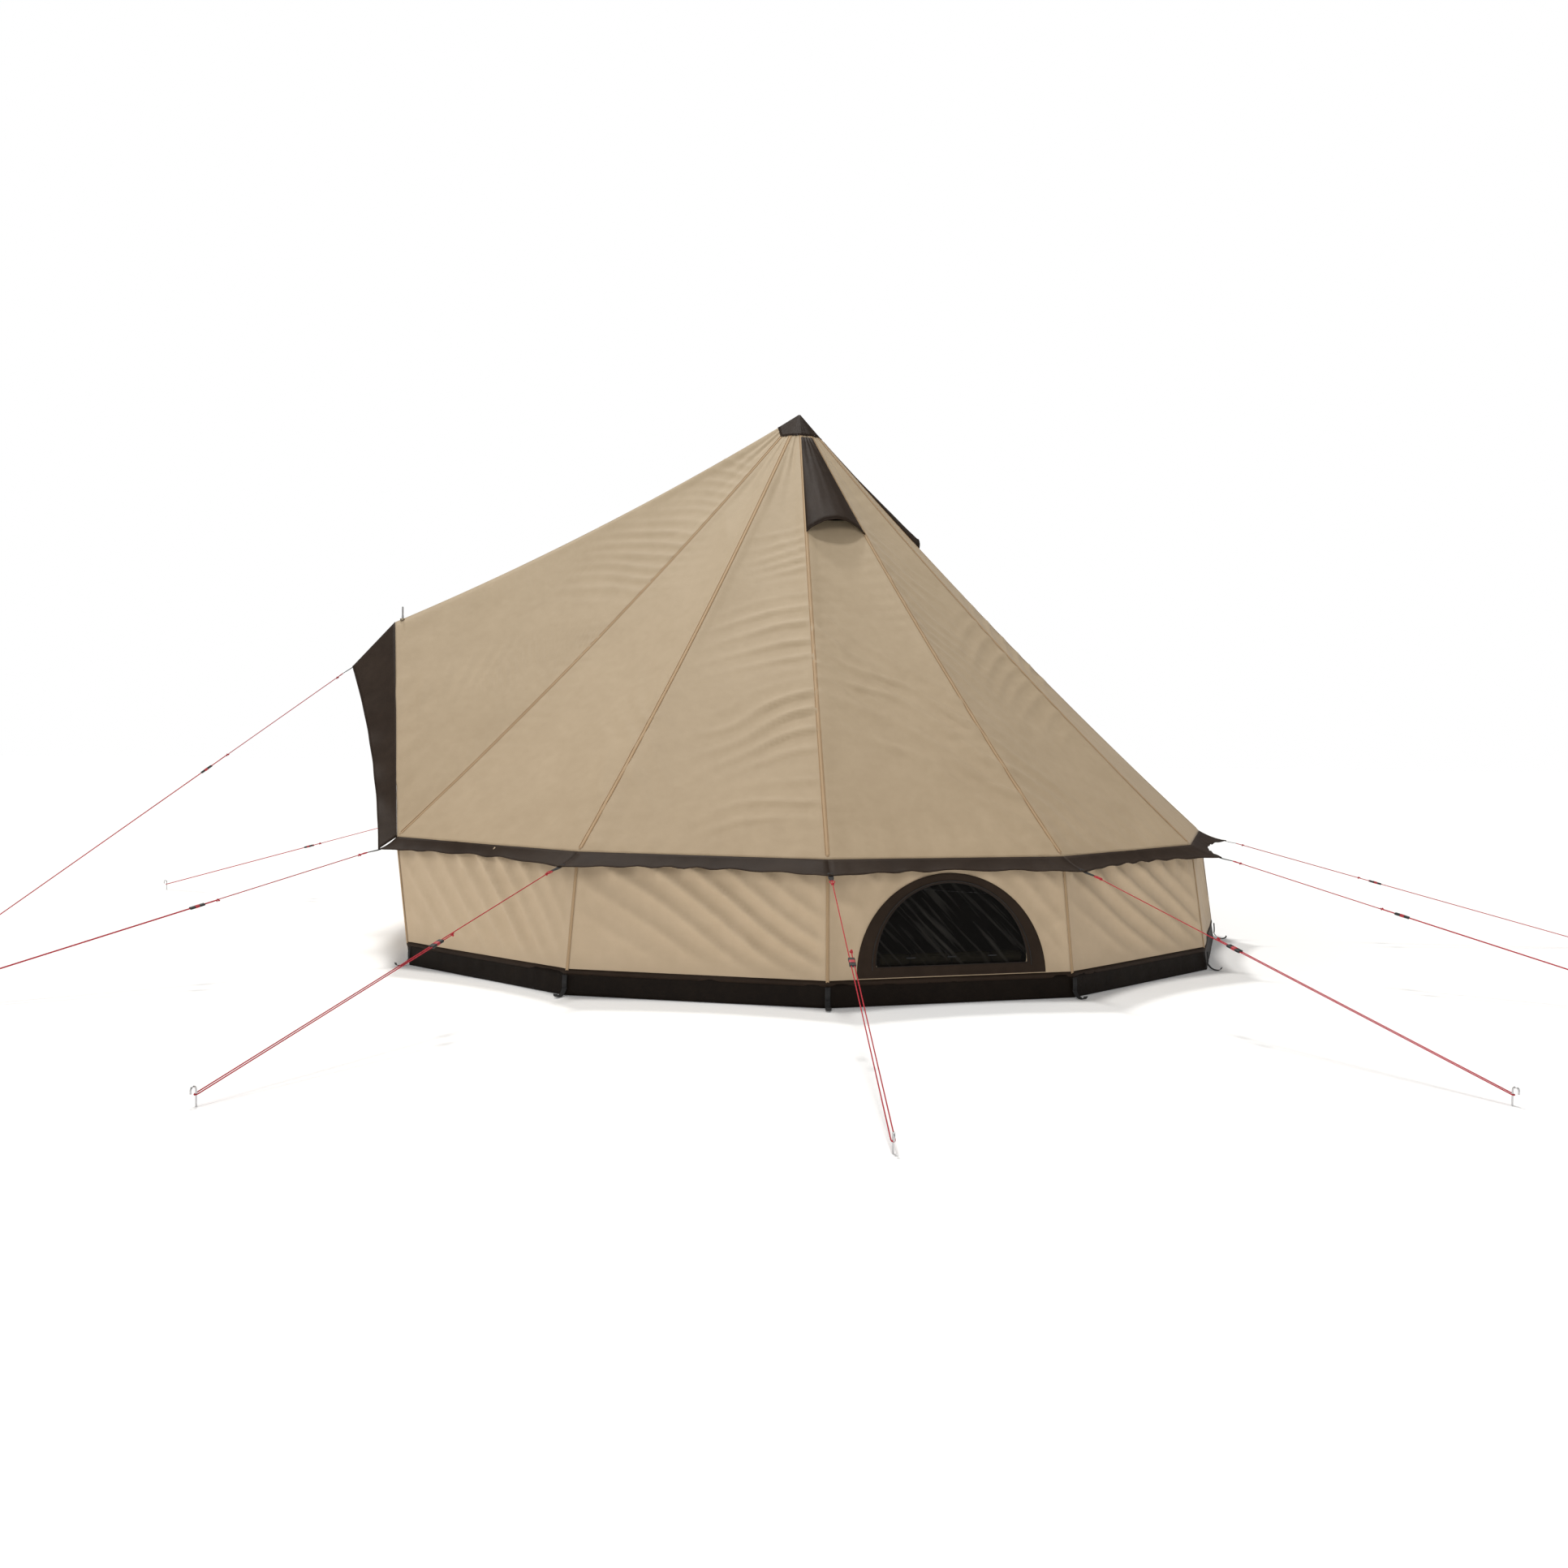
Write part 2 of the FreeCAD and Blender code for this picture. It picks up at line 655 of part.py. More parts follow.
def guy_cord(name, points):
    path = cord_path(name, points)
    circle = Part.Wire([Part.makeCircle(CORD_RADIUS, points[0], points[1] - points[0])])
    cord = path.makePipeShell([circle], True, False)
    expected = math.pi * CORD_RADIUS ** 2 * path.Length
    print(name, "length", round(path.Length), "volume share", round(cord.Volume / expected, 4))
    return cord


def guy_runner(points, share):
    """Waisted bar with a bore for each strand, at a share of the first strand's length."""
    way = (points[1] - points[0]).normalize()
    side = (points[2] - points[1]).normalize()
    up = side.cross(way).normalize() * -1
    middle = points[0] + (points[1] - points[0]) * share + side * (STRAND_SPACING / 2)
    matrix = FreeCAD.Matrix(way.x, side.x, up.x, middle.x, way.y, side.y, up.y, middle.y,
                            way.z, side.z, up.z, middle.z, 0, 0, 0, 1)
    half = V(RUNNER_LENGTH / 2, RUNNER_WIDTH / 2, RUNNER_THICKNESS / 2)
    bar = Part.makeBox(2 * half.x, 2 * half.y, 2 * half.z, half * -1)
    bar = bar.makeFillet(RUNNER_ROUND, bar.Edges)
    waist = Part.makeCylinder(half.x, RUNNER_THICKNESS * 2,
                              V(0, half.y + half.x - RUNNER_WAIST, -RUNNER_THICKNESS))
    bar = bar.cut(waist).cut(waist.mirror(V(0, 0, 0), V(0, 1, 0)))
    for y in (-STRAND_SPACING / 2, STRAND_SPACING / 2):
        bar = bar.cut(cylinder(RUNNER_BORE, V(-RUNNER_LENGTH, y, 0), V(RUNNER_LENGTH, y, 0)))
    return placed(bar, FreeCAD.Placement(matrix))


def guy_peg(start, route):
    """Head of a peg: a neck that the cord goes round, with a hook turned away from the tent."""
    origin, out, side = guy_frame(start)
    u = route[1][0] - STRAND_SPACING / 2
    foot = origin + out * u + side * (STRAND_SPACING / 2)
    neck = foot + UP * PEG_NECK
    over = neck + out * PEG_HOOK + UP * PEG_HOOK
    end = neck + out * (2 * PEG_HOOK)
    edges = [Part.LineSegment(foot, neck).toShape(), Part.Arc(neck, over, end).toShape(),
             Part.LineSegment(end, end - UP * PEG_HOOK).toShape()]
    circle = Part.Wire([Part.makeCircle(PEG_RADIUS, foot, UP)])
    return Part.Wire(edges).makePipeShell([circle], True, False)


def guy_tab(start, route, rows):
    """Webbing from a corner out to where its guy line starts; rows are the (out, height) of its
    stations, counted from the corner."""
    origin, out, side = guy_frame(start)
    half = side * (TAB_WIDTH / 2)
    end_out, end_z = route[0][0], route[0][2]
    centre = [start + out * u + UP * z for u, z in rows]
    centre.append(origin + out * end_out + UP * (end_z + TAB_THICKNESS / 2))
    rows = [[p - half, p + half] for p in centre]
    return cloth(rows, [lowered(r, TAB_THICKNESS) for r in rows])


def slider():
    """Zip slider, on the outside of the +X door flap beside the closing edge."""
    z = SLIDER_START
    out = SLIDER_GAP + SLIDER_THICKNESS
    lean = DOOR_LEAN * SLIDER_LENGTH
    corner = V(FLAP_GAP, door_y(z) - out, z)
    low = [corner, corner + V(SLIDER_WIDTH, 0, 0),
           corner + V(SLIDER_WIDTH, SLIDER_THICKNESS, 0), corner + V(0, SLIDER_THICKNESS, 0)]
    high = [p + V(0, -lean, SLIDER_LENGTH) for p in low]
    return slab(low, high)


# The parts, by name

def make_cloth():
    plain = [c for c in range(1, LAST_CORNER) if c not in OPEN_PANELS]
    rear = list(OPEN_PANELS)[1]
    parts["roof_panels_right"] = group([roof_panel(c) for c in plain if c < rear])
    parts["roof_panels_left"] = group([roof_panel(c) for c in plain if c > rear])
    parts["wall_panels"] = group([wall_panel(c) for c in plain])
    netting = []
    for corner, place in OPEN_PANELS.items():
        outline = vent_outline(corner)
        netting.append(slab(outline, lowered(outline)))
        vent_hole = slab([p + UP * ROOF_FALL for p in outline], lowered(outline, 2 * ROOF_FALL))
        parts[f"roof_panel_vent_{place}"] = roof_panel(corner).cut(vent_hole)
        parts[f"vent_hood_{place}"] = vent_hood(corner)
        hole = placed(window_hole(2 * CUT, -CUT), window_plane(corner))
        parts[f"wall_panel_window_{place}"] = wall_panel(corner).cut(hole)
    parts["vent_netting"] = group(netting)
    parts["window_netting"] = group(
        [placed(window_hole(NETTING, NETTING_BACK - CANVAS), window_plane(c)) for c in OPEN_PANELS])
    parts["window_borders"] = group([window_border(c) for c in OPEN_PANELS])
    parts["window_rolls"] = group([window_roll(c) for c in OPEN_PANELS])
    eyelet_hole = eyelet_tube(EYELET_RADIUS)
    for side, place in ((1, "right"), (-1, "left")):
        parts[f"roof_gable_{place}"] = gable(side).cut(eyelet_hole)
        parts[f"front_side_{place}"] = front_side(side)
        parts[f"door_flap_{place}"] = door_flap(side)
    parts["door_hood"] = group([hood_wing(side).cut(eyelet_hole) for side in (1, -1)])
    parts["apex_cap"] = apex_cap()
    parts["eave_flaps"] = group([eave_flap(c) for c in range(1, LAST_CORNER)])
    parts["skirt"] = skirt()
    parts["groundsheet"], loop = groundsheet()
    parts["groundsheet_upstand"] = upstand(loop)
    parts["hem_loops"] = hem_loops()


def make_poles():
    parts["centre_pole_foot"] = centre_foot()
    for index, name in enumerate(POLE_SECTIONS):
        parts[f"centre_pole_{name}"] = pole_section(index)
    parts["centre_pole_cap"] = centre_cap()
    for side, place in ((1, "right"), (-1, "left")):
        parts[f"door_pole_{place}"] = door_leg(side)
    parts["door_pole_feet"] = leg_caps()
    parts["door_pole_crown"] = door_crown()
    parts["ridge_eyelet"] = ridge_eyelet()
    parts["door_zip_slider"] = slider()


def make_guys():
    lines = {f"{c:02d}": (flap_point(c), CORNER_GUY, CORNER_RUNNER) for c in CORNER_GUYS}
    lines["hood"] = (TIP, HOOD_GUY, HOOD_RUNNER)
    pegs = []
    for name, (start, route, runner) in lines.items():
        points = route_points(start, route)
        share = (runner - route[0][0]) / (route[1][0] - route[0][0])
        parts[f"guy_line_{name}"] = guy_cord(f"guy_line_{name}", points)
        parts[f"guy_runner_{name}"] = guy_runner(points, share)
        pegs.append(guy_peg(start, route))
    parts["guy_pegs"] = group(pegs)
    below = -ROOF_FALL - TAB_DROP
    sewn = [(-TAB_UNDER, below + TAB_UNDER * EAVE_FLAP_DROP / EAVE_FLAP_REACH), (0, below)]
    tabs = [guy_tab(flap_point(c), CORNER_GUY, sewn) for c in range(1, LAST_CORNER + 1)]
    tabs.append(guy_tab(TIP, HOOD_GUY, [(TAB_DROP, below)]))
    parts["guy_tabs"] = group(tabs)


make_cloth()
make_poles()
make_guys()
os.makedirs("parts", exist_ok=True)
for name, shape in parts.items():
    if not shape.isValid():
        print("not valid:", name)
    shape.exportStep(f"parts/{name}.step")
print(len(parts), "parts")
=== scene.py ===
"""Looks of the bell tent: canvas with seams and folds, dark flaps, netting, webbing and cords.

Metres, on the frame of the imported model: the pole stands on the origin, +Z is up and the door
faces -Y. Seams are numbered from 1 beside the door round to 12; 0 and 13 are both the ridge.
"""
import math

import bpy
from mathutils import Matrix, Vector, noise


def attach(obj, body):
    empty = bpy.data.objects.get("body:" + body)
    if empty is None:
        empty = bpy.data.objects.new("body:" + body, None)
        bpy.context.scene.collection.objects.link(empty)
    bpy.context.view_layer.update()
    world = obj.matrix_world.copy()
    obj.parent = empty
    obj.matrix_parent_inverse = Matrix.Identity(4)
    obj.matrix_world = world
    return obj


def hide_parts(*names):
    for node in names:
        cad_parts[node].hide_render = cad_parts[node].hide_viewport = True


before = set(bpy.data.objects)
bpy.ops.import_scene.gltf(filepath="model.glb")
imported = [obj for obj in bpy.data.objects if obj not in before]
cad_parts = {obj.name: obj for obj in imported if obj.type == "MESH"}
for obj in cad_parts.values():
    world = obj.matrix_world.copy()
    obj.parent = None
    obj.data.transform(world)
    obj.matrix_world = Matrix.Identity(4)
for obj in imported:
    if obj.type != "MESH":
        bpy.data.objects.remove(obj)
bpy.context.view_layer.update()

UP = Vector((0, 0, 1))
PANELS = 11
PANEL_ANGLE = 27.5
DOOR_ANGLE = 180 - PANELS * PANEL_ANGLE / 2
LAST = PANELS + 1
RIDGE_END = LAST + 1
APEX_Z, EAVE_Z, EAVE_R, HEM_R = 2.5, 0.518, 1.954, 2.033
SEAM_SAG, RIDGE_SAG = 0.038, 0.045
DOOR_SETBACK, DOOR_LEAN, DOOR_TOP, DOOR_HALF = 0.042, 0.11, 1.38, 0.61
PEAK_Z, HOOD_REACH, HOOD_DROP, HOOD_HOLLOW = 1.448, 0.19, 0.21, 0.028
SKIRT_Z = 0.085
FLAP_REACH, FLAP_DROP, FLAP_HOLLOW, DOOR_FLAP = 0.127, 0.044, 0.07, 0.055
CAP_SHARE, EYE_SHARE = 0.055, 0.0154
OPEN_PANELS = {3: "right", 6: "rear", 9: "left"}
VENT_TOP, VENT_BOTTOM, VENT_BULGE, VENT_ARCH = 0.06, 0.30, 0.054, 0.012
VENT_HOLE, VENT_HOLE_WIDTH = (0.13, 0.26), 0.56
WINDOW_R, WINDOW_HOLE, WINDOW_SILL = 0.372, 0.298, 0.014
WINDOW_HOLE_SILL = WINDOW_SILL + 0.037
# A wall panel's rough width, and the share across it that counts as its far edge
PANEL_WIDTH, PANEL_END = 0.95, 0.9999
CORD = 0.0035
GUYS = (1, 2, 3, 4, 5, 6, 11, 12)


# The tent's surfaces

def azimuth(c):
    return math.radians(DOOR_ANGLE + (c - 1) * PANEL_ANGLE)


def door_y(z):
    return DOOR_SETBACK - HEM_R * math.cos(azimuth(1)) - DOOR_LEAN * z


def ring(c, r, z):
    a = azimuth(c)
    return Vector((r * math.sin(a), door_y(z) if c in (1, LAST) else -r * math.cos(a), z))


def blend(a, b, t):
    return a + (b - a) * t


def around(corner_point, u):
    """A point between two neighbouring corners' points."""
    c = min(int(u), LAST - 1)
    return blend(corner_point(c), corner_point(c + 1), u - c)


def panel_at(u, last=PANELS):
    """Number of the panel that holds place u, counted in seams."""
    return min(int(u + 1e-9), last)


def wall(u, z):
    r = HEM_R + (EAVE_R - HEM_R) * z / EAVE_Z
    return around(lambda c: ring(c, r, z), u)


APEX = Vector((0, 0, APEX_Z))
PEAK = Vector((0, door_y(PEAK_Z), PEAK_Z))
TIP = PEAK + Vector((0, -HOOD_REACH, -HOOD_DROP))


def eave(c):
    return ring(c, EAVE_R, EAVE_Z)


def flap_corner(c):
    z = EAVE_Z - FLAP_DROP
    if 1 < c < LAST:
        return ring(c, EAVE_R + FLAP_REACH, z)
    e = eave(c)
    return Vector((e.x + math.copysign(DOOR_FLAP, e.x), e.y - DOOR_FLAP - 0.01, z))


def roof(u, s):
    """Sagging roof: u is the seam, s the share of the way down from the apex."""
    def seam(c):
        end, sag = (PEAK, RIDGE_SAG) if c in (0, RIDGE_END) else (eave(c), SEAM_SAG * 1.42)
        return blend(APEX, end, s) - UP * (sag * 4 * s * (1 - s))
    c = min(int(u), LAST)
    return blend(seam(c), seam(c + 1), u - c)


def door_edge(z, side):
    return Vector((side * DOOR_HALF * (1 - z / DOOR_TOP), door_y(z), z))


def smooth(a, b, x):
    t = max(0.0, min(1.0, (x - a) / (b - a)))
    return t * t * (3 - 2 * t)


def wobble(p, scale, seed=0.0):
    return noise.noise(p * scale + Vector((seed, seed * 1.7, seed * 0.6)))


def folds(x):
    """Rounded crests with narrow troughs, from -1 to 1, one for each unit of x."""
    return 1 - 2 * abs(math.sin(math.pi * x)) ** 0.7


# Camera and light

def look(position, heading, pitch, roll):
    """Camera placement from its heading in degrees from +X, its pitch and its roll in radians."""
    h = math.radians(heading)
    ahead = Vector((math.cos(h), math.sin(h), 0)) * math.cos(pitch) + UP * math.sin(pitch)
    right = ahead.cross(UP).normalized()
    top = right.cross(ahead)
    right, top = (right * math.cos(roll) - top * math.sin(roll),
                  right * math.sin(roll) + top * math.cos(roll))
    turn = Matrix((right, top, -ahead)).transposed().to_4x4()
    return Matrix.Translation(position) @ turn


camera = bpy.data.objects.new("camera", bpy.data.cameras.new("camera"))
bpy.context.scene.collection.objects.link(camera)
camera.matrix_world = look(Vector((6.9797, -1.2169, 0.991)), heading=170.51, pitch=-0.040,
                           roll=-0.015)
camera.data.lens = 33.23
camera.data.sensor_width = 36
bpy.context.scene.camera = camera


def soft_sun(name, position, power, spread_angle, colour):
    """Even light from far away, in the direction of a place seen from the origin."""
    light = bpy.data.lights.new(name, "SUN")
    light.energy, light.angle, light.color = power, math.radians(spread_angle), colour
    obj = bpy.data.objects.new(name, light)
    bpy.context.scene.collection.objects.link(obj)
    obj.matrix_world = Vector(position).to_track_quat("Z", "Y").to_matrix().to_4x4()


WARM, WARMER, COOL = (1.0, 0.985, 0.96), (1.0, 0.98, 0.95), (0.97, 0.98, 1.0)
SKY_SEEN, SKY_LIGHT = 1.0, 0.22
soft_sun("overhead", (-0.6, -0.8, 8.0), 1.35, 8, WARM)
soft_sun("behind", (-4.0, -1.0, 8.0), 1.2, 6, WARM)
soft_sun("front", (7.0, -2.5, 3.0), 0.68, 25, WARMER)
soft_sun("door", (1.0, -8.0, 4.0), 0.35, 30, COOL)
bpy.context.scene.view_settings.view_transform = "Standard"
world = bpy.data.worlds.new("studio")
world.use_nodes = True
backdrop = world.node_tree.nodes["Background"]
backdrop.inputs[0].default_value = (1, 1, 1, 1)
seen = world.node_tree.nodes.new("ShaderNodeLightPath")
level = world.node_tree.nodes.new("ShaderNodeMapRange")
level.inputs["To Min"].default_value = SKY_LIGHT
level.inputs["To Max"].default_value = SKY_SEEN
world.node_tree.links.new(seen.outputs["Is Camera Ray"], level.inputs["Value"])
world.node_tree.links.new(level.outputs[0], backdrop.inputs[1])
bpy.context.scene.world = world


# Materials

def wire(tree, source, target):
    tree.links.new(source, target)


def feed(tree, value, target):
    """Wires a socket's value to a target socket, or sets a plain value there."""
    if isinstance(value, bpy.types.NodeSocket):
        wire(tree, value, target)
    else:
        target.default_value = value


def node(tree, kind, **inputs):
    n = tree.nodes.new(kind)
    for key, value in inputs.items():
        feed(tree, value, n.inputs[key.replace("_", " ")])
    return n


def maths(tree, operation, a, b=0.0, clamp=False):
    n = tree.nodes.new("ShaderNodeMath")
    n.operation, n.use_clamp = operation, clamp
    feed(tree, a, n.inputs[0])
    feed(tree, b, n.inputs[1])
    return n.outputs[0]


def mixed_colour(tree, factor, first, second, blend_type="MIX"):
    mix = tree.nodes.new("ShaderNodeMix")
    mix.data_type, mix.blend_type = "RGBA", blend_type
    for value, socket in ((factor, 0), (first, 6), (second, 7)):
        feed(tree, value, mix.inputs[socket])
    return mix.outputs[2]


def shader_group(name, inputs, outputs):
    """Node group with float inputs, besides a Vector, and outputs by socket type."""
    tree = bpy.data.node_groups.new(name, "ShaderNodeTree")
    tree.interface.new_socket("Vector", in_out="INPUT", socket_type="NodeSocketVector")
    for key, value in inputs.items():
        s = tree.interface.new_socket(key, in_out="INPUT", socket_type="NodeSocketFloat")
        s.default_value = value
    for key in outputs:
        tree.interface.new_socket(key, in_out="OUTPUT", socket_type="NodeSocketFloat")
    return tree, tree.nodes.new("NodeGroupInput"), tree.nodes.new("NodeGroupOutput")


def make_weave():
    """Plain weave: threads over and under, by the metre of cloth."""
    tree, given, out = shader_group("plain_weave", {"Threads": 900.0}, ["Height", "Gaps"])
    xyz = node(tree, "ShaderNodeSeparateXYZ", Vector=given.outputs["Vector"])
    x, y = (maths(tree, "MULTIPLY", xyz.outputs[k], given.outputs["Threads"]) for k in (0, 1))
    warp, weft = (maths(tree, "ABSOLUTE", maths(tree, "SINE", maths(tree, "MULTIPLY", k, math.pi)))
                  for k in (x, y))
    square = maths(tree, "ADD", maths(tree, "FLOOR", x), maths(tree, "FLOOR", y))
    board = maths(tree, "ABSOLUTE", maths(tree, "MODULO", square, 2.0))
    over = maths(tree, "MULTIPLY", warp, board)
    under = maths(tree, "MULTIPLY", weft, maths(tree, "SUBTRACT", 1.0, board))
    wire(tree, maths(tree, "ADD", over, under), out.inputs["Height"])
    wire(tree, maths(tree, "MULTIPLY", warp, weft), out.inputs["Gaps"])
    return tree


def make_crumple():
    """Small soft creases and mottling of proofed cloth."""
    tree, given, out = shader_group("crumple", {"Size": 6.0}, ["Creases", "Mottle"])
    coarse = node(tree, "ShaderNodeTexNoise", Vector=given.outputs["Vector"],
                  Scale=given.outputs["Size"], Detail=5.0, Roughness=0.55, Distortion=0.6)
    fine = node(tree, "ShaderNodeTexNoise", Vector=given.outputs["Vector"], Detail=3.0,
                Scale=maths(tree, "MULTIPLY", given.outputs["Size"], 4.3))
    ridge = maths(tree, "ABSOLUTE", maths(tree, "SUBTRACT", coarse.outputs["Fac"], 0.5))
    wire(tree, maths(tree, "SUBTRACT", 1.0, maths(tree, "MULTIPLY", ridge, 4.0), True),
         out.inputs["Creases"])
    mixed = maths(tree, "ADD", maths(tree, "MULTIPLY", coarse.outputs["Fac"], 0.6),
                  maths(tree, "MULTIPLY", fine.outputs["Fac"], 0.4))
    wire(tree, mixed, out.inputs["Mottle"])
    return tree


def make_wear():
    """Scuffs and small scratches for hard parts."""
    tree, given, out = shader_group("scuffs", {"Size": 40.0}, ["Scuff"])
    big = node(tree, "ShaderNodeTexNoise", Vector=given.outputs["Vector"],
               Scale=given.outputs["Size"], Detail=6.0, Roughness=0.7)
    lift = maths(tree, "MULTIPLY", maths(tree, "SUBTRACT", big.outputs["Fac"], 0.5), 3.0, True)
    wire(tree, lift, out.inputs["Scuff"])
    return tree


WEAVE, CRUMPLE, SCUFFS = make_weave(), make_crumple(), make_wear()


def placed_group(tree, group, vector, **inputs):
    n = tree.nodes.new("ShaderNodeGroup")
    n.node_tree = group
    wire(tree, vector, n.inputs["Vector"])
    for key, value in inputs.items():
        n.inputs[key].default_value = value
    return n


def ramp(tree, factor, stops):
    n = node(tree, "ShaderNodeValToRGB", Fac=factor)
    elements = n.color_ramp.elements
    while len(elements) < len(stops):
        elements.new(0.5)
    for element, (place, colour) in zip(elements, stops):
        element.position, element.color = place, (*colour, 1)
    return n.outputs["Color"]


def new_material(name, roughness, **values):
    material = bpy.data.materials.new(name)
    material.use_nodes = True
    tree = material.node_tree
    shader = tree.nodes["Principled BSDF"]
    shader.inputs["Roughness"].default_value = roughness
    for key, value in values.items():
        shader.inputs[key.replace("_", " ")].default_value = value
    return material, tree, shader


def height_over_floor(tree, place):
    return node(tree, "ShaderNodeSeparateXYZ", Vector=place.outputs["Object"]).outputs[2]


# Height where the darker mottled band at the foot of the cloth ends, and its colour
FOOT_DARK_TOP, FOOT_DARK_COLOUR = 0.16, (0.10, 0.08, 0.06, 1)


def cloth_material(name, dark, pale, roughness=0.9, sheen=0.2, threads=900.0, size=6.0,
                   crease=0.25, low=None, foot_darkening=0.0, weave=0.12, gloss=0.35):
    """Woven cloth with mottled colour and small creases.

    low is (height, height above it, tint at the lower one) for painted shade that darkens the
    cloth low down, and foot darkening is how strongly the foot of the cloth is darker in mottled
    patches.
    """
    material, tree, shader = new_material(name, roughness, Sheen_Weight=sheen,
                                          Sheen_Roughness=0.5, Specular_IOR_Level=gloss)
    place = tree.nodes.new("ShaderNodeTexCoord")
    soft = placed_group(tree, CRUMPLE, place.outputs["Object"], Size=size)
    cloth = placed_group(tree, WEAVE, place.outputs["UV"], Threads=threads)
    mottle = soft.outputs["Mottle"]
    colour = ramp(tree, mottle, [(0.3, dark), (0.7, pale)])
    # Painted shade: the cloth is tinted darker towards the lower of the two heights
    if low:
        share = node(tree, "ShaderNodeMapRange", Value=height_over_floor(tree, place),
                     From_Min=low[0], From_Max=low[1])
        painted_shade_tint = ramp(tree, share.outputs[0], [(0.0, low[2]), (1.0, (1, 1, 1))])
        colour = mixed_colour(tree, 1.0, colour, painted_shade_tint, "MULTIPLY")
    # A darker mottled band towards the foot of the cloth
    if foot_darkening:
        under = maths(tree, "SUBTRACT", FOOT_DARK_TOP, height_over_floor(tree, place))
        foot_dark_mask = maths(tree, "MULTIPLY", under, maths(tree, "MULTIPLY", mottle, foot_darkening * 8), True)
        colour = mixed_colour(tree, foot_dark_mask, colour, FOOT_DARK_COLOUR)
    wire(tree, colour, shader.inputs["Base Color"])
    height = maths(tree, "ADD", maths(tree, "MULTIPLY", mottle, crease),
                   maths(tree, "MULTIPLY", cloth.outputs["Height"], weave * 0.1))
    bump = node(tree, "ShaderNodeBump", Strength=0.5, Distance=0.02, Height=height)
    wire(tree, bump.outputs[0], shader.inputs["Normal"])
    rough = maths(tree, "ADD", roughness - 0.06, maths(tree, "MULTIPLY", mottle, 0.1))
    wire(tree, rough, shader.inputs["Roughness"])
    return material


# How far the netting's painted highlight streaks slant, in radians, and how large one is
HIGHLIGHT_STREAK_TURN, HIGHLIGHT_STREAK_SIZE = -0.75, (0.02, 0.3, 1.0)


def mesh_material(name, dark, pale, cover, threads=700.0):
    """Netting: threads with open gaps between them, and paler slanting streaks that are painted
    highlights.
    """
    material, tree, shader = new_material(name, 0.8, Specular_IOR_Level=0.1)
    place = tree.nodes.new("ShaderNodeTexCoord")
    cloth = placed_group(tree, WEAVE, place.outputs["UV"], Threads=threads)
    turned = node(tree, "ShaderNodeMapping", Vector=place.outputs["UV"],
                  Rotation=(0, 0, HIGHLIGHT_STREAK_TURN), Scale=HIGHLIGHT_STREAK_SIZE)
    turned.vector_type = "TEXTURE"
    highlight_streak = node(tree, "ShaderNodeTexNoise", Vector=turned.outputs[0], Scale=1.0, Detail=2.0)
    solid = maths(tree, "LESS_THAN", cloth.outputs["Gaps"], cover)
    # The painted highlight streaks also make the netting a little more solid
    alpha = maths(tree, "ADD", maths(tree, "MULTIPLY", solid, 0.85),
                  maths(tree, "MULTIPLY", highlight_streak.outputs["Fac"], 0.2), True)
    wire(tree, alpha, shader.inputs["Alpha"])
    # Painted highlights: the netting is paler along the slanting streaks
    wire(tree, ramp(tree, highlight_streak.outputs["Fac"], [(0.52, dark), (0.78, pale)]),
         shader.inputs["Base Color"])
    return material


def tape_material(name, dark, pale, threads=260.0, roughness=0.8):
    """Webbing, tape or braid, with ribs along its own map."""
    material, tree, shader = new_material(name, roughness, Specular_IOR_Level=0.3)
    place = tree.nodes.new("ShaderNodeTexCoord")
    cloth = placed_group(tree, WEAVE, place.outputs["UV"], Threads=threads)
    soft = placed_group(tree, CRUMPLE, place.outputs["Object"], Size=30.0)
    wire(tree, ramp(tree, cloth.outputs["Height"], [(0.1, dark), (0.9, pale)]),
         shader.inputs["Base Color"])
    height = maths(tree, "ADD", cloth.outputs["Height"],
                   maths(tree, "MULTIPLY", soft.outputs["Mottle"], 0.5))
    bump = node(tree, "ShaderNodeBump", Strength=0.6, Distance=0.0008, Height=height)
    wire(tree, bump.outputs[0], shader.inputs["Normal"])
    return material


def hard_material(name, colour, worn, roughness, metallic=0.0, size=40.0):
    """Moulded or metal part with scuffs that are paler or darker and rougher."""
    material, tree, shader = new_material(name, roughness, Metallic=metallic)
    place = tree.nodes.new("ShaderNodeTexCoord")
    scuff = placed_group(tree, SCUFFS, place.outputs["Object"], Size=size).outputs["Scuff"]
    wire(tree, ramp(tree, scuff, [(0.0, colour), (1.0, worn)]), shader.inputs["Base Color"])
    rough = maths(tree, "ADD", roughness, maths(tree, "MULTIPLY", scuff, 0.25), True)
    wire(tree, rough, shader.inputs["Roughness"])
    bump = node(tree, "ShaderNodeBump", Strength=0.2, Distance=0.0005, Height=scuff)
    wire(tree, bump.outputs[0], shader.inputs["Normal"])
    return material


# The proofed cloth of the roof and the walls, as a darker copy for the roof, which is painted
# shade, and a lighter copy for the walls, which is painted light; and the painted shade that
# darkens the roof further towards its eave
PROOFED = {"foot_darkening": 0.35, "sheen": 0.08, "crease": 0.1, "roughness": 0.68}
ROOF_PAINTED_SHADE = (0.4, 2.3, (0.84, 0.80, 0.76))
ROOF_CANVAS_PAINTED_DARKER = cloth_material("canvas", (0.465, 0.362, 0.235), (0.52, 0.412, 0.275), low=ROOF_PAINTED_SHADE,
                        **PROOFED)
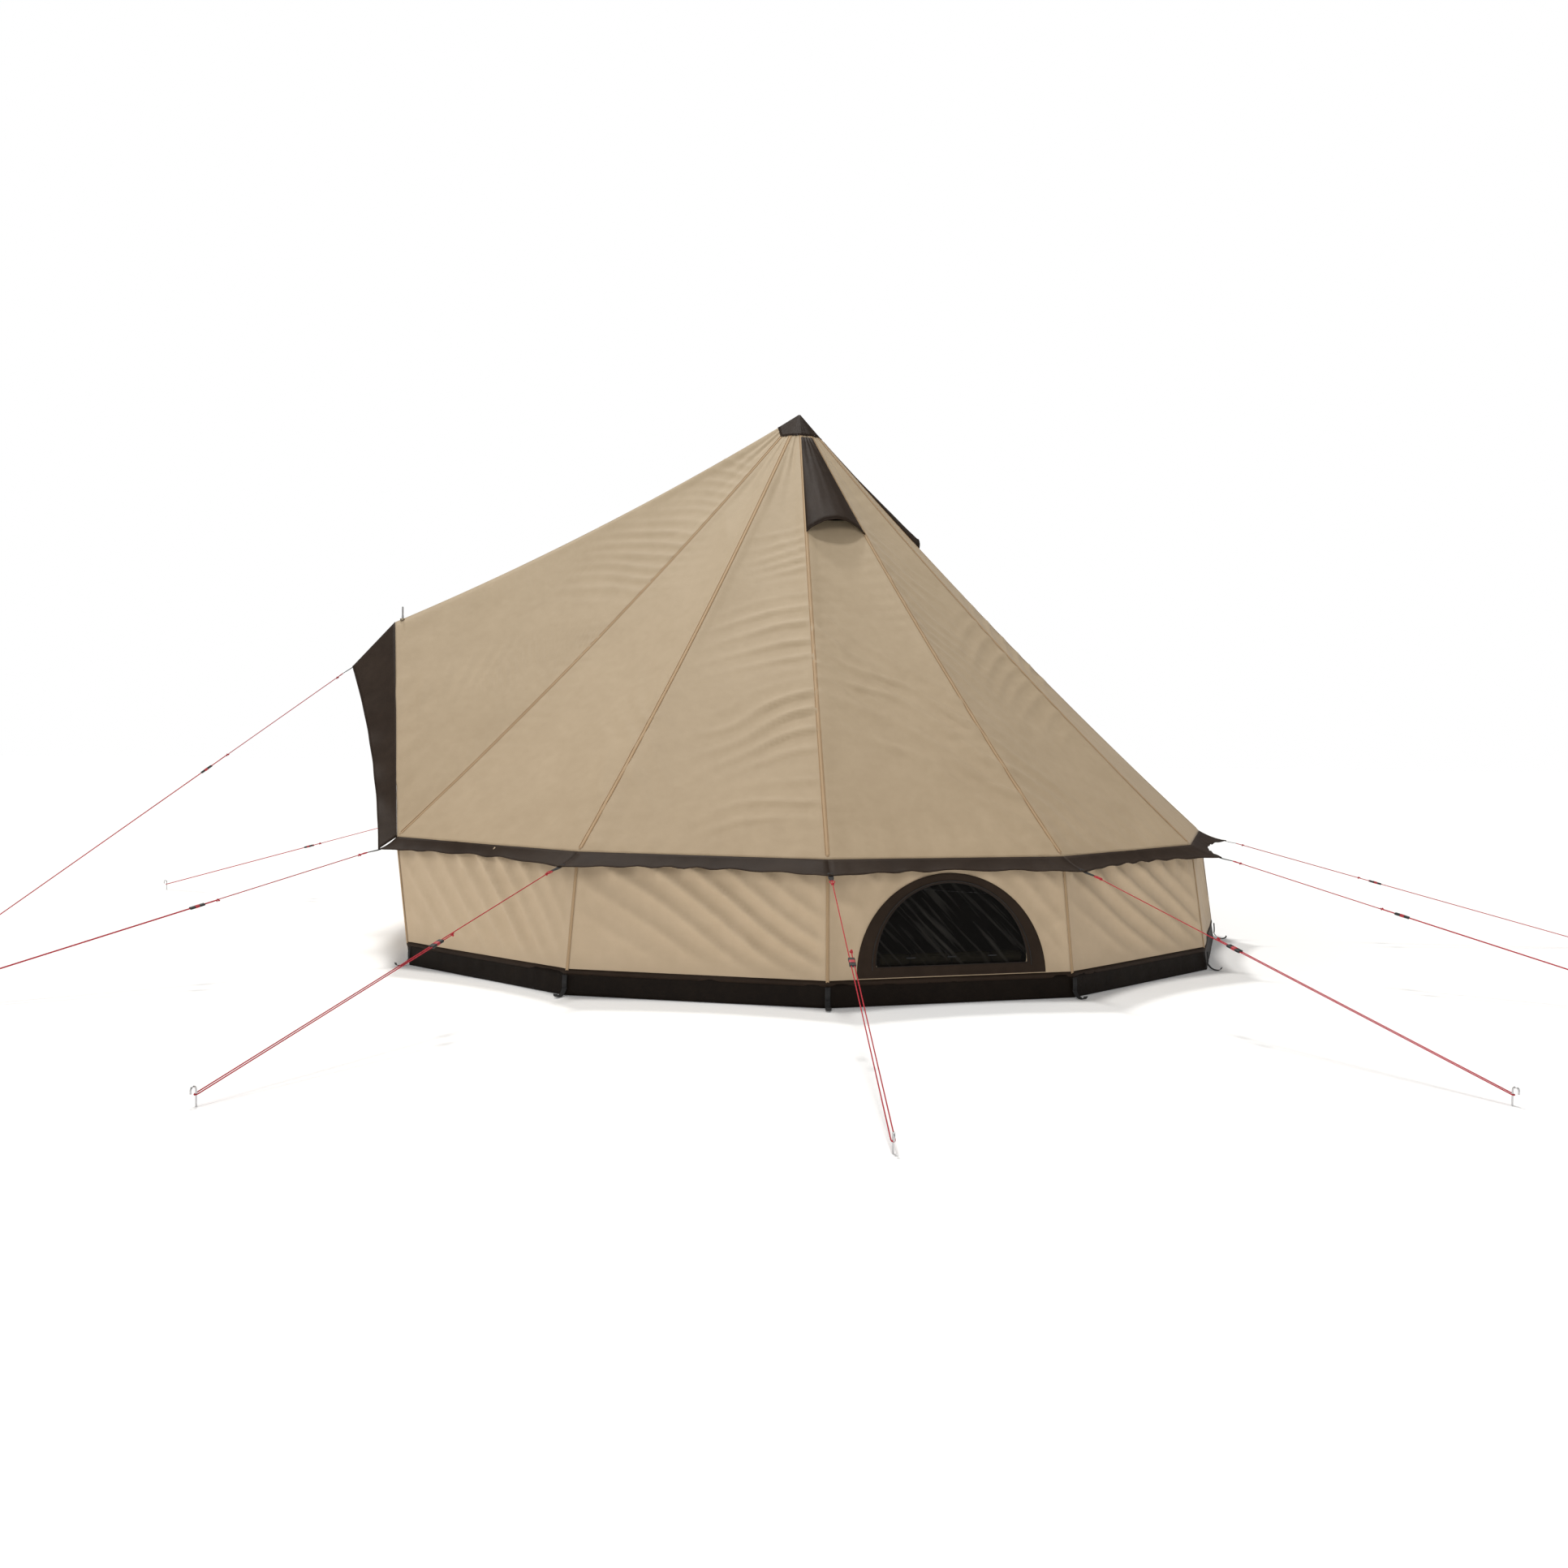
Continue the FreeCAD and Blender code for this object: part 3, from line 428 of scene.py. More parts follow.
# The walls' copy of the same cloth is painted lighter, as painted light
WALL_CANVAS_PAINTED_LIGHTER = cloth_material("wall_canvas_painted_lighter", (0.55, 0.42, 0.275), (0.615, 0.475, 0.32), **PROOFED)
TRIM = cloth_material("trim_canvas", (0.022, 0.013, 0.008), (0.036, 0.023, 0.015), sheen=0.0,
                      roughness=0.6, gloss=0.12)
SKIRT = cloth_material("skirt_canvas", (0.006, 0.0035, 0.002), (0.012, 0.0075, 0.0045),
                       roughness=0.55, sheen=0.0, size=14.0, crease=0.35, gloss=0.1)
OLIVE = cloth_material("cover_canvas", (0.10, 0.082, 0.042), (0.19, 0.16, 0.09), size=16.0,
                       sheen=0.05)
FLOOR = cloth_material("groundsheet", (0.12, 0.12, 0.11), (0.17, 0.17, 0.16), roughness=0.55,
                       sheen=0.0, threads=330.0, size=4.0, weave=0.5)
# The seam strips carry the same painted shade towards the eave
SEAM = cloth_material("seam_canvas", (0.50, 0.36, 0.215), (0.56, 0.405, 0.25), sheen=0.08,
                      low=ROOF_PAINTED_SHADE)
THREAD = tape_material("seam_thread", (0.42, 0.26, 0.13), (0.62, 0.42, 0.24), 1500.0)
# The netting's pale colour is that of its painted highlight streaks
NETTING = mesh_material("netting", (0.005, 0.0045, 0.004), (0.045, 0.042, 0.037), 0.72)
WEBBING = tape_material("webbing", (0.012, 0.012, 0.012), (0.035, 0.034, 0.034))
ZIP_TAPE = tape_material("zip_tape", (0.014, 0.010, 0.008), (0.035, 0.026, 0.021), 500.0)
CORD_RED = tape_material("cord", (0.36, 0.012, 0.022), (0.58, 0.03, 0.05), 420.0, 0.65)
BLACK = hard_material("black_plastic", (0.014, 0.014, 0.014), (0.045, 0.045, 0.045), 0.42)
RED_PLASTIC = hard_material("red_plastic", (0.42, 0.02, 0.03), (0.5, 0.07, 0.07), 0.45)
RUBBER = hard_material("rubber", (0.018, 0.018, 0.018), (0.06, 0.058, 0.055), 0.75)
STEEL = hard_material("pole_steel", (0.50, 0.50, 0.51), (0.34, 0.34, 0.35), 0.32, 1.0, 18.0)
WIRE = hard_material("peg_steel", (0.58, 0.58, 0.59), (0.40, 0.39, 0.38), 0.3, 1.0, 60.0)
BRASS = hard_material("eyelet_brass", (0.46, 0.39, 0.27), (0.30, 0.25, 0.18), 0.35, 1.0, 90.0)


# Making pieces

# Thickness of the tent's cloth and of its seam strips
CLOTH, STRIP = 0.0014, 0.0008

def finish_piece(name, mesh, material, body="root", replaces=()):
    """Piece made of a mesh: smooth, in its material, and riding on its body."""
    obj = bpy.data.objects.new(name, mesh)
    bpy.context.scene.collection.objects.link(obj)
    mesh.materials.clear()
    mesh.materials.append(material)
    for polygon in mesh.polygons:
        polygon.use_smooth = True
    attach(obj, body)
    if replaces:
        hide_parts(*replaces)
    return obj


def mesh_with_map(name, verts, faces, uvs):
    """Mesh with a UV map, which has one place for each corner of each face."""
    mesh = bpy.data.meshes.new(name)
    mesh.from_pydata(verts, [], faces)
    layer = mesh.uv_layers.new(name="cloth")
    for loop, uv in zip(layer.data, uvs):
        loop.uv = uv
    mesh.update()
    return mesh


# Width on the UV map of the faces that close a ring of points
CLOSING_STEP = 0.01


def grid_mesh(name, rows, skip=None, closed=False):
    """Mesh over rows of points, with a UV map in metres; skip(i, j) leaves a face out."""
    columns = len(rows[0])
    across = []
    for row in rows:
        places = [0.0]
        for a, b in zip(row, row[1:]):
            places.append(places[-1] + (b - a).length)
        middle = 0.0 if closed else places[columns // 2]
        across.append([x - middle for x in places])
    along = [0.0]
    for a, b in zip(rows, rows[1:]):
        along.append(along[-1] + (b[columns // 2] - a[columns // 2]).length)
    faces, uvs = [], []
    for i in range(len(rows) - 1):
        for j in range(columns if closed else columns - 1):
            if skip and skip(i, j):
                continue
            k = (j + 1) % columns
            faces.append((i * columns + j, (i + 1) * columns + j, (i + 1) * columns + k,
                          i * columns + k))
            right, under = (across[r][k] if k else across[r][j] + CLOSING_STEP
                            for r in (i, i + 1))
            uvs += [(across[i][j], -along[i]), (across[i + 1][j], -along[i + 1]),
                    (under, -along[i + 1]), (right, -along[i])]
    return mesh_with_map(name, [p for row in rows for p in row], faces, uvs)


def thicken(obj, thickness, offset=-1.0):
    """Cloth thickness, applied so that the piece is one closed mesh."""
    solid = obj.modifiers.new("thickness", "SOLIDIFY")
    solid.thickness, solid.offset = thickness, offset
    solid.use_rim = True
    apply_modifiers(obj)


def apply_modifiers(obj):
    graph = bpy.context.evaluated_depsgraph_get()
    mesh = bpy.data.meshes.new_from_object(obj.evaluated_get(graph))
    obj.modifiers.clear()
    obj.data = mesh


def joined_piece(name, meshes, material, body="root", replaces=()):
    """Piece made of several meshes."""
    return finish_piece(name, joined(name, meshes), material, body, replaces)


def cloth_piece(name, rows, material, thickness=CLOTH, skip=None, body="root",
                replaces=()):
    """Piece of cloth over rows of points, with its thickness."""
    mesh = grid_mesh(name, rows, skip)
    obj = finish_piece(name, mesh, material, body, replaces)
    thicken(obj, thickness)
    return obj


def sheet_area(rows):
    total = 0.0
    for a, b in zip(rows, rows[1:]):
        for j in range(len(a) - 1):
            total += ((b[j + 1] - a[j]).cross(b[j] - a[j + 1])).length / 2
    return total


def spread(count, low=0.0, high=1.0):
    """Evenly spaced numbers from low to high, with both ends."""
    return [low + (high - low) * i / (count - 1) for i in range(count)]


def tube_along(name, points, radius, sides=8):
    """Closed round tube through points."""
    rows, x = [], None
    for i, p in enumerate(points):
        way = (points[min(i + 1, len(points) - 1)] - points[max(i - 1, 0)]).normalized()
        x = (way.orthogonal() if x is None else x - way * x.dot(way)).normalized()
        y = way.cross(x)
        rows.append([p + (x * math.cos(t) + y * math.sin(t)) * radius
                     for t in (2 * math.pi * k / sides for k in range(sides))])
    wall_mesh = grid_mesh(name, rows, closed=True)
    verts = [v.co.copy() for v in wall_mesh.vertices]
    faces = [tuple(p.vertices) for p in wall_mesh.polygons]
    faces += [tuple(range(sides))[::-1], tuple(range(len(verts) - sides, len(verts)))]
    uvs = [tuple(l.uv) for l in wall_mesh.uv_layers[0].data] + [(0, 0)] * (2 * sides)
    bpy.data.meshes.remove(wall_mesh)
    return mesh_with_map(name, verts, [f[::-1] for f in faces], uvs)


def joined(name, meshes):
    """One mesh out of several."""
    verts, faces, uvs = [], [], []
    for mesh in meshes:
        base = len(verts)
        verts += [v.co.copy() for v in mesh.vertices]
        faces += [tuple(base + i for i in p.vertices) for p in mesh.polygons]
        uvs += [tuple(l.uv) for l in mesh.uv_layers[0].data]
        bpy.data.meshes.remove(mesh)
    return mesh_with_map(name, verts, faces, uvs)


# Guy lines, with their tabs, runners and pegs

# Routes of the doubled cords, out to the peg and back to the runner: (distance out from the
# corner's place on the floor, sideways, height)
CORNER_GUY = ((0.046, 0, 0.462), (1.658, 0, 0.0347), (1.679, 0, 0.029), (1.679, 0.010, 0.029),
              (1.658, 0.010, 0.0347), (0.632, 0.010, 0.3066))
HOOD_GUY = ((0.042, 0, 1.206), (1.595, 0, 0.0417), (1.612, 0, 0.029), (1.612, 0.010, 0.029),
            (1.595, 0.010, 0.0417), (0.556, 0.010, 0.8207))
# Distance of each stopper knot from its end of the cord, and its size
TAB_KNOT, FAR_KNOT = (0.034, 0.0045), (0.004, 0.005)
# The loop through the tab: where it ends, its length, its half width and how its ends lap
LOOP_END, LOOP_LENGTH, LOOP_HALF, LOOP_LAP = 0.032, 0.030, 0.0075, 0.004


def outward(start):
    """Level direction away from the pole at a place."""
    return Vector((start.x, start.y, 0)).normalized()


def guy_points(start, route):
    """A route's points, from (distance out, sideways, height), below a corner of the tent."""
    out = outward(start)
    side = UP.cross(out)
    return [Vector((start.x, start.y, 0)) + out * u + side * s + UP * z for u, s, z in route]


def knot(centre, way, size, turns=2.2):
    """Overhand stopper knot: a short cord wound on itself."""
    x = way.orthogonal().normalized()
    y = way.cross(x)
    points = []
    for t in spread(25):
        angle = 2 * math.pi * turns * t
        r = size * (0.75 + 0.25 * math.sin(3 * angle))
        along = (t - 0.5) * size * 2.2 + size * 0.5 * math.sin(angle * 0.5)
        points.append(centre + way * along + (x * math.cos(angle) + y * math.sin(angle)) * r)
    return tube_along("knot", points, CORD * 0.5, 6)


def tab_loop(start, way, side):
    """Loop of the cord that goes through the webbing tab, from its knot."""
    points = []
    for t in spread(15, -1.0, 1.0):
        pinch = math.sin(math.pi * (1 - abs(t))) if abs(t) > 0.5 else 1.0
        along = LOOP_END - LOOP_LENGTH * math.cos(t * math.pi / 2)
        across = LOOP_HALF * math.sin(t * math.pi) * pinch + LOOP_LAP * t
        points.append(start + way * along + side * across)
    return tube_along("loop", points, CORD * 0.45, 6)


def guy_line(label, start, route, node_name):
    points = guy_points(start, route)
    curve = bpy.data.curves.new(node_name, "CURVE")
    curve.dimensions = "3D"
    spline = curve.splines.new("NURBS")
    spline.points.add(len(points) - 1)
    for target, p in zip(spline.points, points):
        target.co = (*p, 1)
    spline.order_u = 3
    spline.use_endpoint_u = True
    spline.resolution_u = 10
    curve.bevel_depth = CORD / 2
    curve.bevel_resolution = 2
    curve.use_fill_caps = True
    cord = bpy.data.objects.new(f"guy_cord_{label}", curve)
    bpy.context.scene.collection.objects.link(cord)
    curve.materials.append(CORD_RED)
    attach(cord, "root")
    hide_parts(node_name)
    way = (points[1] - points[0]).normalized()
    knots = joined_piece(f"guy_knots_{label}", [
        knot(points[0] + way * TAB_KNOT[0], way, TAB_KNOT[1]),
        knot(points[-1] - way * FAR_KNOT[0], way, FAR_KNOT[1]),
        tab_loop(points[0], way, UP.cross(outward(start)))], CORD_RED)


ALL_GUYS = {f"{c:02d}": (flap_corner(c), CORNER_GUY) for c in GUYS}
ALL_GUYS["hood"] = (TIP, HOOD_GUY)
for label, (start, route) in ALL_GUYS.items():
    guy_line(label, start, route, f"guy_line_{label}")


# Roof

# Groups of pulls beside a seam: (seam, side, share down the seam, height that they spread over,
# reach, stand, fall of a pull for each metre away, pitch)
PULLS = [
    (1, -1, 0.36, 0.20, 0.60, 0.0046, -0.22, 0.055),
    (1, -1, 0.56, 0.14, 0.85, 0.0044, 0.02, 0.050),
    (1, -1, 0.18, 0.14, 0.28, 0.0028, -0.25, 0.045), (1, -1, 0.82, 0.13, 0.40, 0.0024, 0.5, 0.07),
    (3, -1, 0.34, 0.12, 0.22, 0.0040, 0.12, 0.050), (3, -1, 0.52, 0.15, 0.34, 0.0064, 0.10, 0.062),
    (3, -1, 0.72, 0.14, 0.40, 0.0066, 0.14, 0.072), (3, -1, 0.88, 0.07, 0.45, 0.0046, 0.08, 0.060),
    (3, 1, 0.56, 0.18, 0.42, 0.0034, 0.55, 0.060), (2, -1, 0.84, 0.16, 0.24, 0.0030, -1.1, 0.075),
    (2, 1, 0.84, 0.16, 0.22, 0.0030, 0.9, 0.070), (4, 1, 0.46, 0.26, 0.30, 0.0038, 0.85, 0.055),
    (4, -1, 0.84, 0.20, 0.46, 0.0062, -0.95, 0.080), (4, 1, 0.82, 0.16, 0.36, 0.0046, 0.8, 0.070),
    (5, -1, 0.60, 0.24, 0.28, 0.0038, 0.3, 0.062), (12, 1, 0.42, 0.22, 0.6, 0.0044, -0.1, 0.055),
    (6, -1, 0.52, 0.22, 0.32, 0.0046, 0.2, 0.066), (7, 1, 0.62, 0.22, 0.32, 0.0044, 0.4, 0.072),
    (7, -1, 0.74, 0.16, 0.30, 0.0040, -0.6, 0.070), (8, -1, 0.50, 0.22, 0.32, 0.0048, 0.2, 0.064),
    (9, -1, 0.78, 0.16, 0.30, 0.0036, -0.7, 0.070), (9, 1, 0.70, 0.18, 0.36, 0.0044, 0.6, 0.068),
    (10, -1, 0.50, 0.22, 0.34, 0.0048, 0.15, 0.070), (11, 1, 0.6, 0.22, 0.34, 0.0044, 0.5, 0.068),
    (11, -1, 0.74, 0.16, 0.30, 0.0036, -0.5, 0.066),
    (12, -1, 0.66, 0.18, 0.32, 0.0042, 0.3, 0.064)]
WIDTHS = {c: ((PEAK if c == 0 else eave(c)) - (PEAK if c == LAST else eave(c + 1))).length
          for c in range(RIDGE_END)}
PANEL_PULLS = {c: [(*p, roof(p[0], p[2]).z) for p in PULLS
                   if p[:2] in ((c, 1), (c + 1, -1))] for c in range(RIDGE_END)}


def crest(turns):
    """Narrow rounded crests with wide shallow troughs, one for each turn."""
    return 1.4 * (math.exp(2.2 * (math.sin(2 * math.pi * turns) - 1)) - 0.3)


# The roof's rise for each metre down a seam, how much a pull droops away from its seam, and how
# far the pulls stand against the table
ROOF_RISE, PULL_DROOP, PULL_GAIN = 0.7, 0.35, 1.8


def pull_stand(u, s, p):
    """Rounded ridges that start at a seam and die out across the panel."""
    c = min(int(u), LAST)
    total = 0.0
    for seam, _, _, span, reach, stand, fall, pitch, height in PANEL_PULLS[c]:
        away = abs(u - seam) * WIDTHS[c] * s
        slant = math.hypot(ROOF_RISE, fall) / ROOF_RISE
        level = (p.z - height + fall * away + PULL_DROOP * away * away) / slant
        if away > reach * 1.8 or abs(level) > span * 1.6:
            continue
        wave = crest(level / pitch + 0.7 * wobble(p, 3.2, seam))
        uneven = 0.6 + 0.9 * abs(wobble(p, 5.0, seam + 2.0))
        total += (PULL_GAIN * stand * wave * uneven * math.exp(-(level / span) ** 4)
                  * math.exp(-abs(away / reach) ** 3) * smooth(0, 0.02, away))
    return total


# How far each kind of unevenness of the roof stands, in metres
PUCKER, BELLY, BROAD, HEM_FLUTE, GATHER, SLACK = 0.0016, 0.064, 0.009, 0.0022, 0.003, 0.0028


def roof_ripple(u, s):
    """How far the roof cloth stands out of its smooth shape, for a seam and a share."""
    c = min(int(u), LAST)
    f = u - c
    p = roof(u, s)
    away = min(f, 1 - f) * WIDTHS[c] * s
    mid = math.sin(math.pi * f)
    pull = math.sin(2 * math.pi * (s * 38 + 0.35 * wobble(p, 3.0) + f * 0.8))
    near_seam = (PUCKER * pull * smooth(0.0, 0.5, wobble(p, 1.7, 1.5) + 0.2)
                 * math.exp(-away / 0.09) * smooth(0.06, 0.2, s))
    belly = -BELLY * f * (1 - f) * math.sin(math.pi * min(1, s * 1.02))
    broad = BROAD * wobble(p, 1.9, 4.0) * smooth(0.05, 0.3, s) * (1 - smooth(0.93, 1, s))
    flute = math.sin(2 * math.pi * (f * 8 + 0.5 * wobble(p, 2.0, 2.0)))
    hem = HEM_FLUTE * flute * smooth(0.86, 0.98, s) * (1 - smooth(0.985, 1.0, s))
    gather = (GATHER * math.sin(2 * math.pi * f * 3) * mid
              * (1 - smooth(0.05, 0.3, s)) * smooth(0.0, 0.06, s))
    drift = folds(s * 4.6 - f * 0.9 + wobble(p, 1.2, 7.0) * 0.9)
    slack = SLACK * drift * mid * smooth(0.0, 0.5, wobble(p, 1.1, 9.0) + 0.15)
    pinned = smooth(0.0, 0.05, away)
    return (near_seam + belly + broad + hem + gather + slack) * pinned + pull_stand(u, s, p)


def roof_normal(u, s):
    step = 0.004
    across = roof(min(u + step, RIDGE_END), s) - roof(max(u - step, 0), s)
    down = roof(u, min(s + step, 1)) - roof(u, max(s - step, 0))
    n = down.cross(across)
    return n.normalized() if n.z > 0 else -n.normalized()


def panel_normals(s):
    return {c: roof_normal(c + 0.5, s) for c in range(RIDGE_END)}


# How quickly the cloth turns from one panel's lie to the next at a seam
SEAM_TURN = 6


def roof_rows(first, last, count, columns, ripple=True):
    """Rows of the roof's points between two seams, from the eyelet of the pole to the eave."""
    rows = []
    stations = [first + j / columns for j in range(columns * (last - first) + 1)]
    for s in spread(count, EYE_SHARE, 1.0):
        normals = panel_normals(s)
        row = []
        for u in stations:
            c = panel_at(u, LAST)
            n = normals[c]
            f = u - c
            beside = c - 1 if f < 0.5 else c + 1
            if first <= beside < last:
                t = min(1, min(f, 1 - f) * SEAM_TURN)
                n = (normals[beside] + n) * 0.5 * (1 - t) + n * t
            row.append(roof(u, s) + n.normalized() * (roof_ripple(u, s) if ripple else 0.0))
        rows.append(row)
    return rows


ROWS, COLUMNS = 190, 34
for place, first, last, nodes in (
        ("right", 0, 6, ("roof_gable_right", "roof_panels_right", "roof_panel_vent_right")),
        ("left", 6, RIDGE_END, ("roof_panel_vent_rear", "roof_panels_left",
                                "roof_panel_vent_left", "roof_gable_left"))):
    rows = roof_rows(first, last, ROWS, COLUMNS)
    step = (1 - EYE_SHARE) / (ROWS - 1)

    def opening(i, j, first=first):
        u = first + (j + 0.5) / COLUMNS
        s = EYE_SHARE + (i + 0.5) * step
        return (int(u) in OPEN_PANELS and VENT_HOLE[0] < s < VENT_HOLE[1]
                and abs(u - int(u) - 0.5) < VENT_HOLE_WIDTH / 2)
    obj = cloth_piece(f"roof_{place}", rows, ROOF_CANVAS_PAINTED_DARKER, skip=opening, replaces=nodes)
    roof_rows(first, last, 12, 4, ripple=False)


SEAM_SIDES = panel_normals(0.5)
SEAM_NORMALS = {c: (SEAM_SIDES[c - 1] + SEAM_SIDES[c]).normalized() for c in range(1, LAST + 1)}
# Cross-section of a felled seam: (across, above the cloth)
SEAM_PROFILE = ((-0.0055, 0.0001), (-0.004, 0.0005), (-0.0015, 0.0007), (0.0015, 0.0007),
                (0.004, 0.0005), (0.0055, 0.0001))


def beside_seam(c, s, across, lift):
    """A point of the roof cloth at a distance across from a seam, raised by lift."""
    panel = c if across > 0 else c - 1
    u = c + across / max(WIDTHS[panel] * s, 0.02)
    u = min(max(u, c - 0.4), c + 0.4)
    return roof(u, s) + SEAM_SIDES[panel] * roof_ripple(u, s) + SEAM_NORMALS[c] * lift




def seam_strip(c):
    """Felled seam: a raised strip of doubled cloth over the line where two panels meet."""
    return grid_mesh("seam", [[beside_seam(c, s, x, z) for x, z in SEAM_PROFILE]
                              for s in spread(180, CAP_SHARE * 0.9, 0.995)])


seams = joined_piece("roof_seams", [seam_strip(c) for c in range(1, LAST + 1)], SEAM)
thicken(seams, STRIP)


def strip_along(points, up, half, lift=0.0012):
    """Ribbon along points, with a slightly raised middle."""
    rows = []
    for i, p in enumerate(points):
        way = points[min(i + 1, len(points) - 1)] - points[max(i - 1, 0)]
        side = way.cross(up).normalized()
        rows.append([p + side * (half * t) + up * (lift * (1 - t * t)) for t in spread(5, -1, 1)])
    return grid_mesh("strip", rows)


# Stitches and teeth by Geometry Nodes

def geometry_tree(name, inputs):
    tree = bpy.data.node_groups.new(name, "GeometryNodeTree")
    tree.is_modifier = True
    tree.interface.new_socket("Geometry", in_out="INPUT", socket_type="NodeSocketGeometry")
    for key, (kind, value) in inputs.items():
        socket = tree.interface.new_socket(key, in_out="INPUT", socket_type=kind)
        if value is not None:
            socket.default_value = value
    tree.interface.new_socket("Geometry", in_out="OUTPUT", socket_type="NodeSocketGeometry")
    return tree, tree.nodes.new("NodeGroupInput"), tree.nodes.new("NodeGroupOutput")


def repeats_tree():
    """Small blocks at even steps along every line of a curve."""
    tree, given, out = geometry_tree("repeats_along", {
        "Step": ("NodeSocketFloat", 0.01), "Size": ("NodeSocketVector", (0.005, 0.001, 0.001)),
        "Material": ("NodeSocketMaterial", None)})
    to_points = tree.nodes.new("GeometryNodeCurveToPoints")
    to_points.mode = "LENGTH"
    block = tree.nodes.new("GeometryNodeMeshCube")
    place = tree.nodes.new("GeometryNodeInstanceOnPoints")
    real = tree.nodes.new("GeometryNodeRealizeInstances")
    colour = tree.nodes.new("GeometryNodeSetMaterial")
    for source, output, target, into in (
            (given, "Geometry", to_points, "Curve"), (given, "Step", to_points, "Length"),
            (given, "Size", block, "Size"), (to_points, "Points", place, "Points"),
            (to_points, "Rotation", place, "Rotation"), (block, "Mesh", place, "Instance"),
            (place, "Instances", real, "Geometry"), (real, "Geometry", colour, "Geometry"),
            (given, "Material", colour, "Material"), (colour, "Geometry", out, "Geometry")):
        wire(tree, source.outputs[output], target.inputs[into])
    return tree


REPEATS = repeats_tree()


def repeats(name, lines, step, size, material, body="root"):
    """Piece of small blocks, size (across, out, along), set along lines of points."""
    curve = bpy.data.curves.new(name, "CURVE")
    curve.dimensions = "3D"
    for line in lines:
        spline = curve.splines.new("POLY")
        spline.points.add(len(line) - 1)
        for target, p in zip(spline.points, line):
            target.co = (*p, 1)
    holder = bpy.data.objects.new(name + "_lines", curve)
    bpy.context.scene.collection.objects.link(holder)
    modifier = holder.modifiers.new("repeats", "NODES")
    modifier.node_group = REPEATS
    values = {"Step": step, "Size": size, "Material": material}
    for item in REPEATS.interface.items_tree:
        if item.item_type == "SOCKET" and item.in_out == "INPUT" and item.name in values:
            modifier[item.identifier] = values[item.name]
    graph = bpy.context.evaluated_depsgraph_get()
    mesh = bpy.data.meshes.new_from_object(holder.evaluated_get(graph))
    bpy.data.objects.remove(holder)
    mesh.name = name
    return finish_piece(name, mesh, material, body)


def stitch_line(c, side):
    """Line of stitches beside a seam."""
    return [beside_seam(c, s, side * 0.0072, 0.0014) for s in spread(120, CAP_SHARE, 0.99)]


roof_thread = repeats("roof_stitches", [stitch_line(c, side) for c in range(1, LAST + 1)
                                        for side in (-1, 1)],
                      0.0095, (0.0020, 0.0012, 0.0075), THREAD)


# Walls, skirt and windows

def window_frame(c):
    """(origin, across, up, out) of the wall panel's face at a window."""
    low = (wall(c, SKIRT_Z) + wall(c + 1, SKIRT_Z)) / 2
    x = (wall(c + 1, SKIRT_Z) - wall(c, SKIRT_Z)).normalized()
    top = EAVE_Z - 0.0028
    rise = (wall(c, top) + wall(c + PANEL_END, top)) / 2 - low
    y = (rise - x * rise.dot(x)).normalized()
    return low, x, y, x.cross(y)


def window_place(c, x, y, z=0.0):
    origin, across, up, out = window_frame(c)
    return origin + across * x + up * y + out * z


# Slanting folds of each wall panel: (slope, pitch, stand, where they are strongest across)
WALL_FOLDS = {1: (1.05, 0.095, 0.0150, 0.45), 2: (0.50, 0.088, 0.0190, 0.40),
              3: (0.80, 0.100, 0.0080, 0.90), 4: (0.50, 0.095, 0.0150, 0.35),
              5: (0.75, 0.100, 0.0110, 0.60), 6: (0.70, 0.100, 0.0060, 0.10),
              7: (0.55, 0.105, 0.0120, 0.45), 8: (0.85, 0.095, 0.0120, 0.60),
              9: (0.70, 0.100, 0.0060, 0.90), 10: (0.60, 0.100, 0.0120, 0.40),
              11: (0.90, 0.110, 0.0110, 0.55)}


def wall_fold(u, z):
    """Outward stand of the wall cloth: slanting pulls, scallops under the flap, soft hem."""
    c = min(int(u), PANELS)
    f = u - c
    p = wall(u, z)
    slope, pitch, stand, centre = WALL_FOLDS[c]
    x = f * PANEL_WIDTH
    across = (x * slope + z) / math.hypot(1, slope) + 0.022 * wobble(p, 2.4, c * 1.3)
    fan = 1 + 0.25 * (x - 0.4)
    line = x - (EAVE_Z - z) / slope * 0.5
    patchy = 0.55 + 0.9 * max(0.0, wobble(Vector((across * 6, c * 2.0, x)), 1.0))
    group = math.exp(-((line / PANEL_WIDTH - centre) / 0.42) ** 2) * patchy
    slant = folds(across / pitch * fan) * stand * group * smooth(0.07, 0.20, z)
    scallop = folds(f * 8.5 + 0.5 * wobble(p, 4.0, 3.0)) * smooth(0.36, 0.50, z) * 0.007
    broad = 0.010 * wobble(p, 2.6, 5.0)
    crease = 0.0018 * folds((x * 0.9 + z) / 0.043 + wobble(p, 5.0)) * max(0.0, wobble(p, 3.0, 4.0))
    edge = smooth(0.0, 0.05, f) * smooth(0.0, 0.05, 1 - f)
    top = 1 - smooth(EAVE_Z - 0.022, EAVE_Z - 0.006, z)
    taut = 1.0
    if c in OPEN_PANELS:
        x -= PANEL_WIDTH / 2
        reach = math.hypot(x, z - SKIRT_Z - WINDOW_SILL)
        taut = 0.10 + 0.90 * smooth(WINDOW_R - 0.02, WINDOW_R + 0.06, reach)
        rays = folds(math.atan2(z - SKIRT_Z, x) * 3.4 + wobble(p, 3.0))
        slant += 0.0045 * rays * smooth(WINDOW_R, WINDOW_R + 0.1, reach)
    return (slant + scallop + broad + crease) * edge * top * taut


WALL_OUT = {c: window_frame(c)[3] for c in range(1, LAST)}


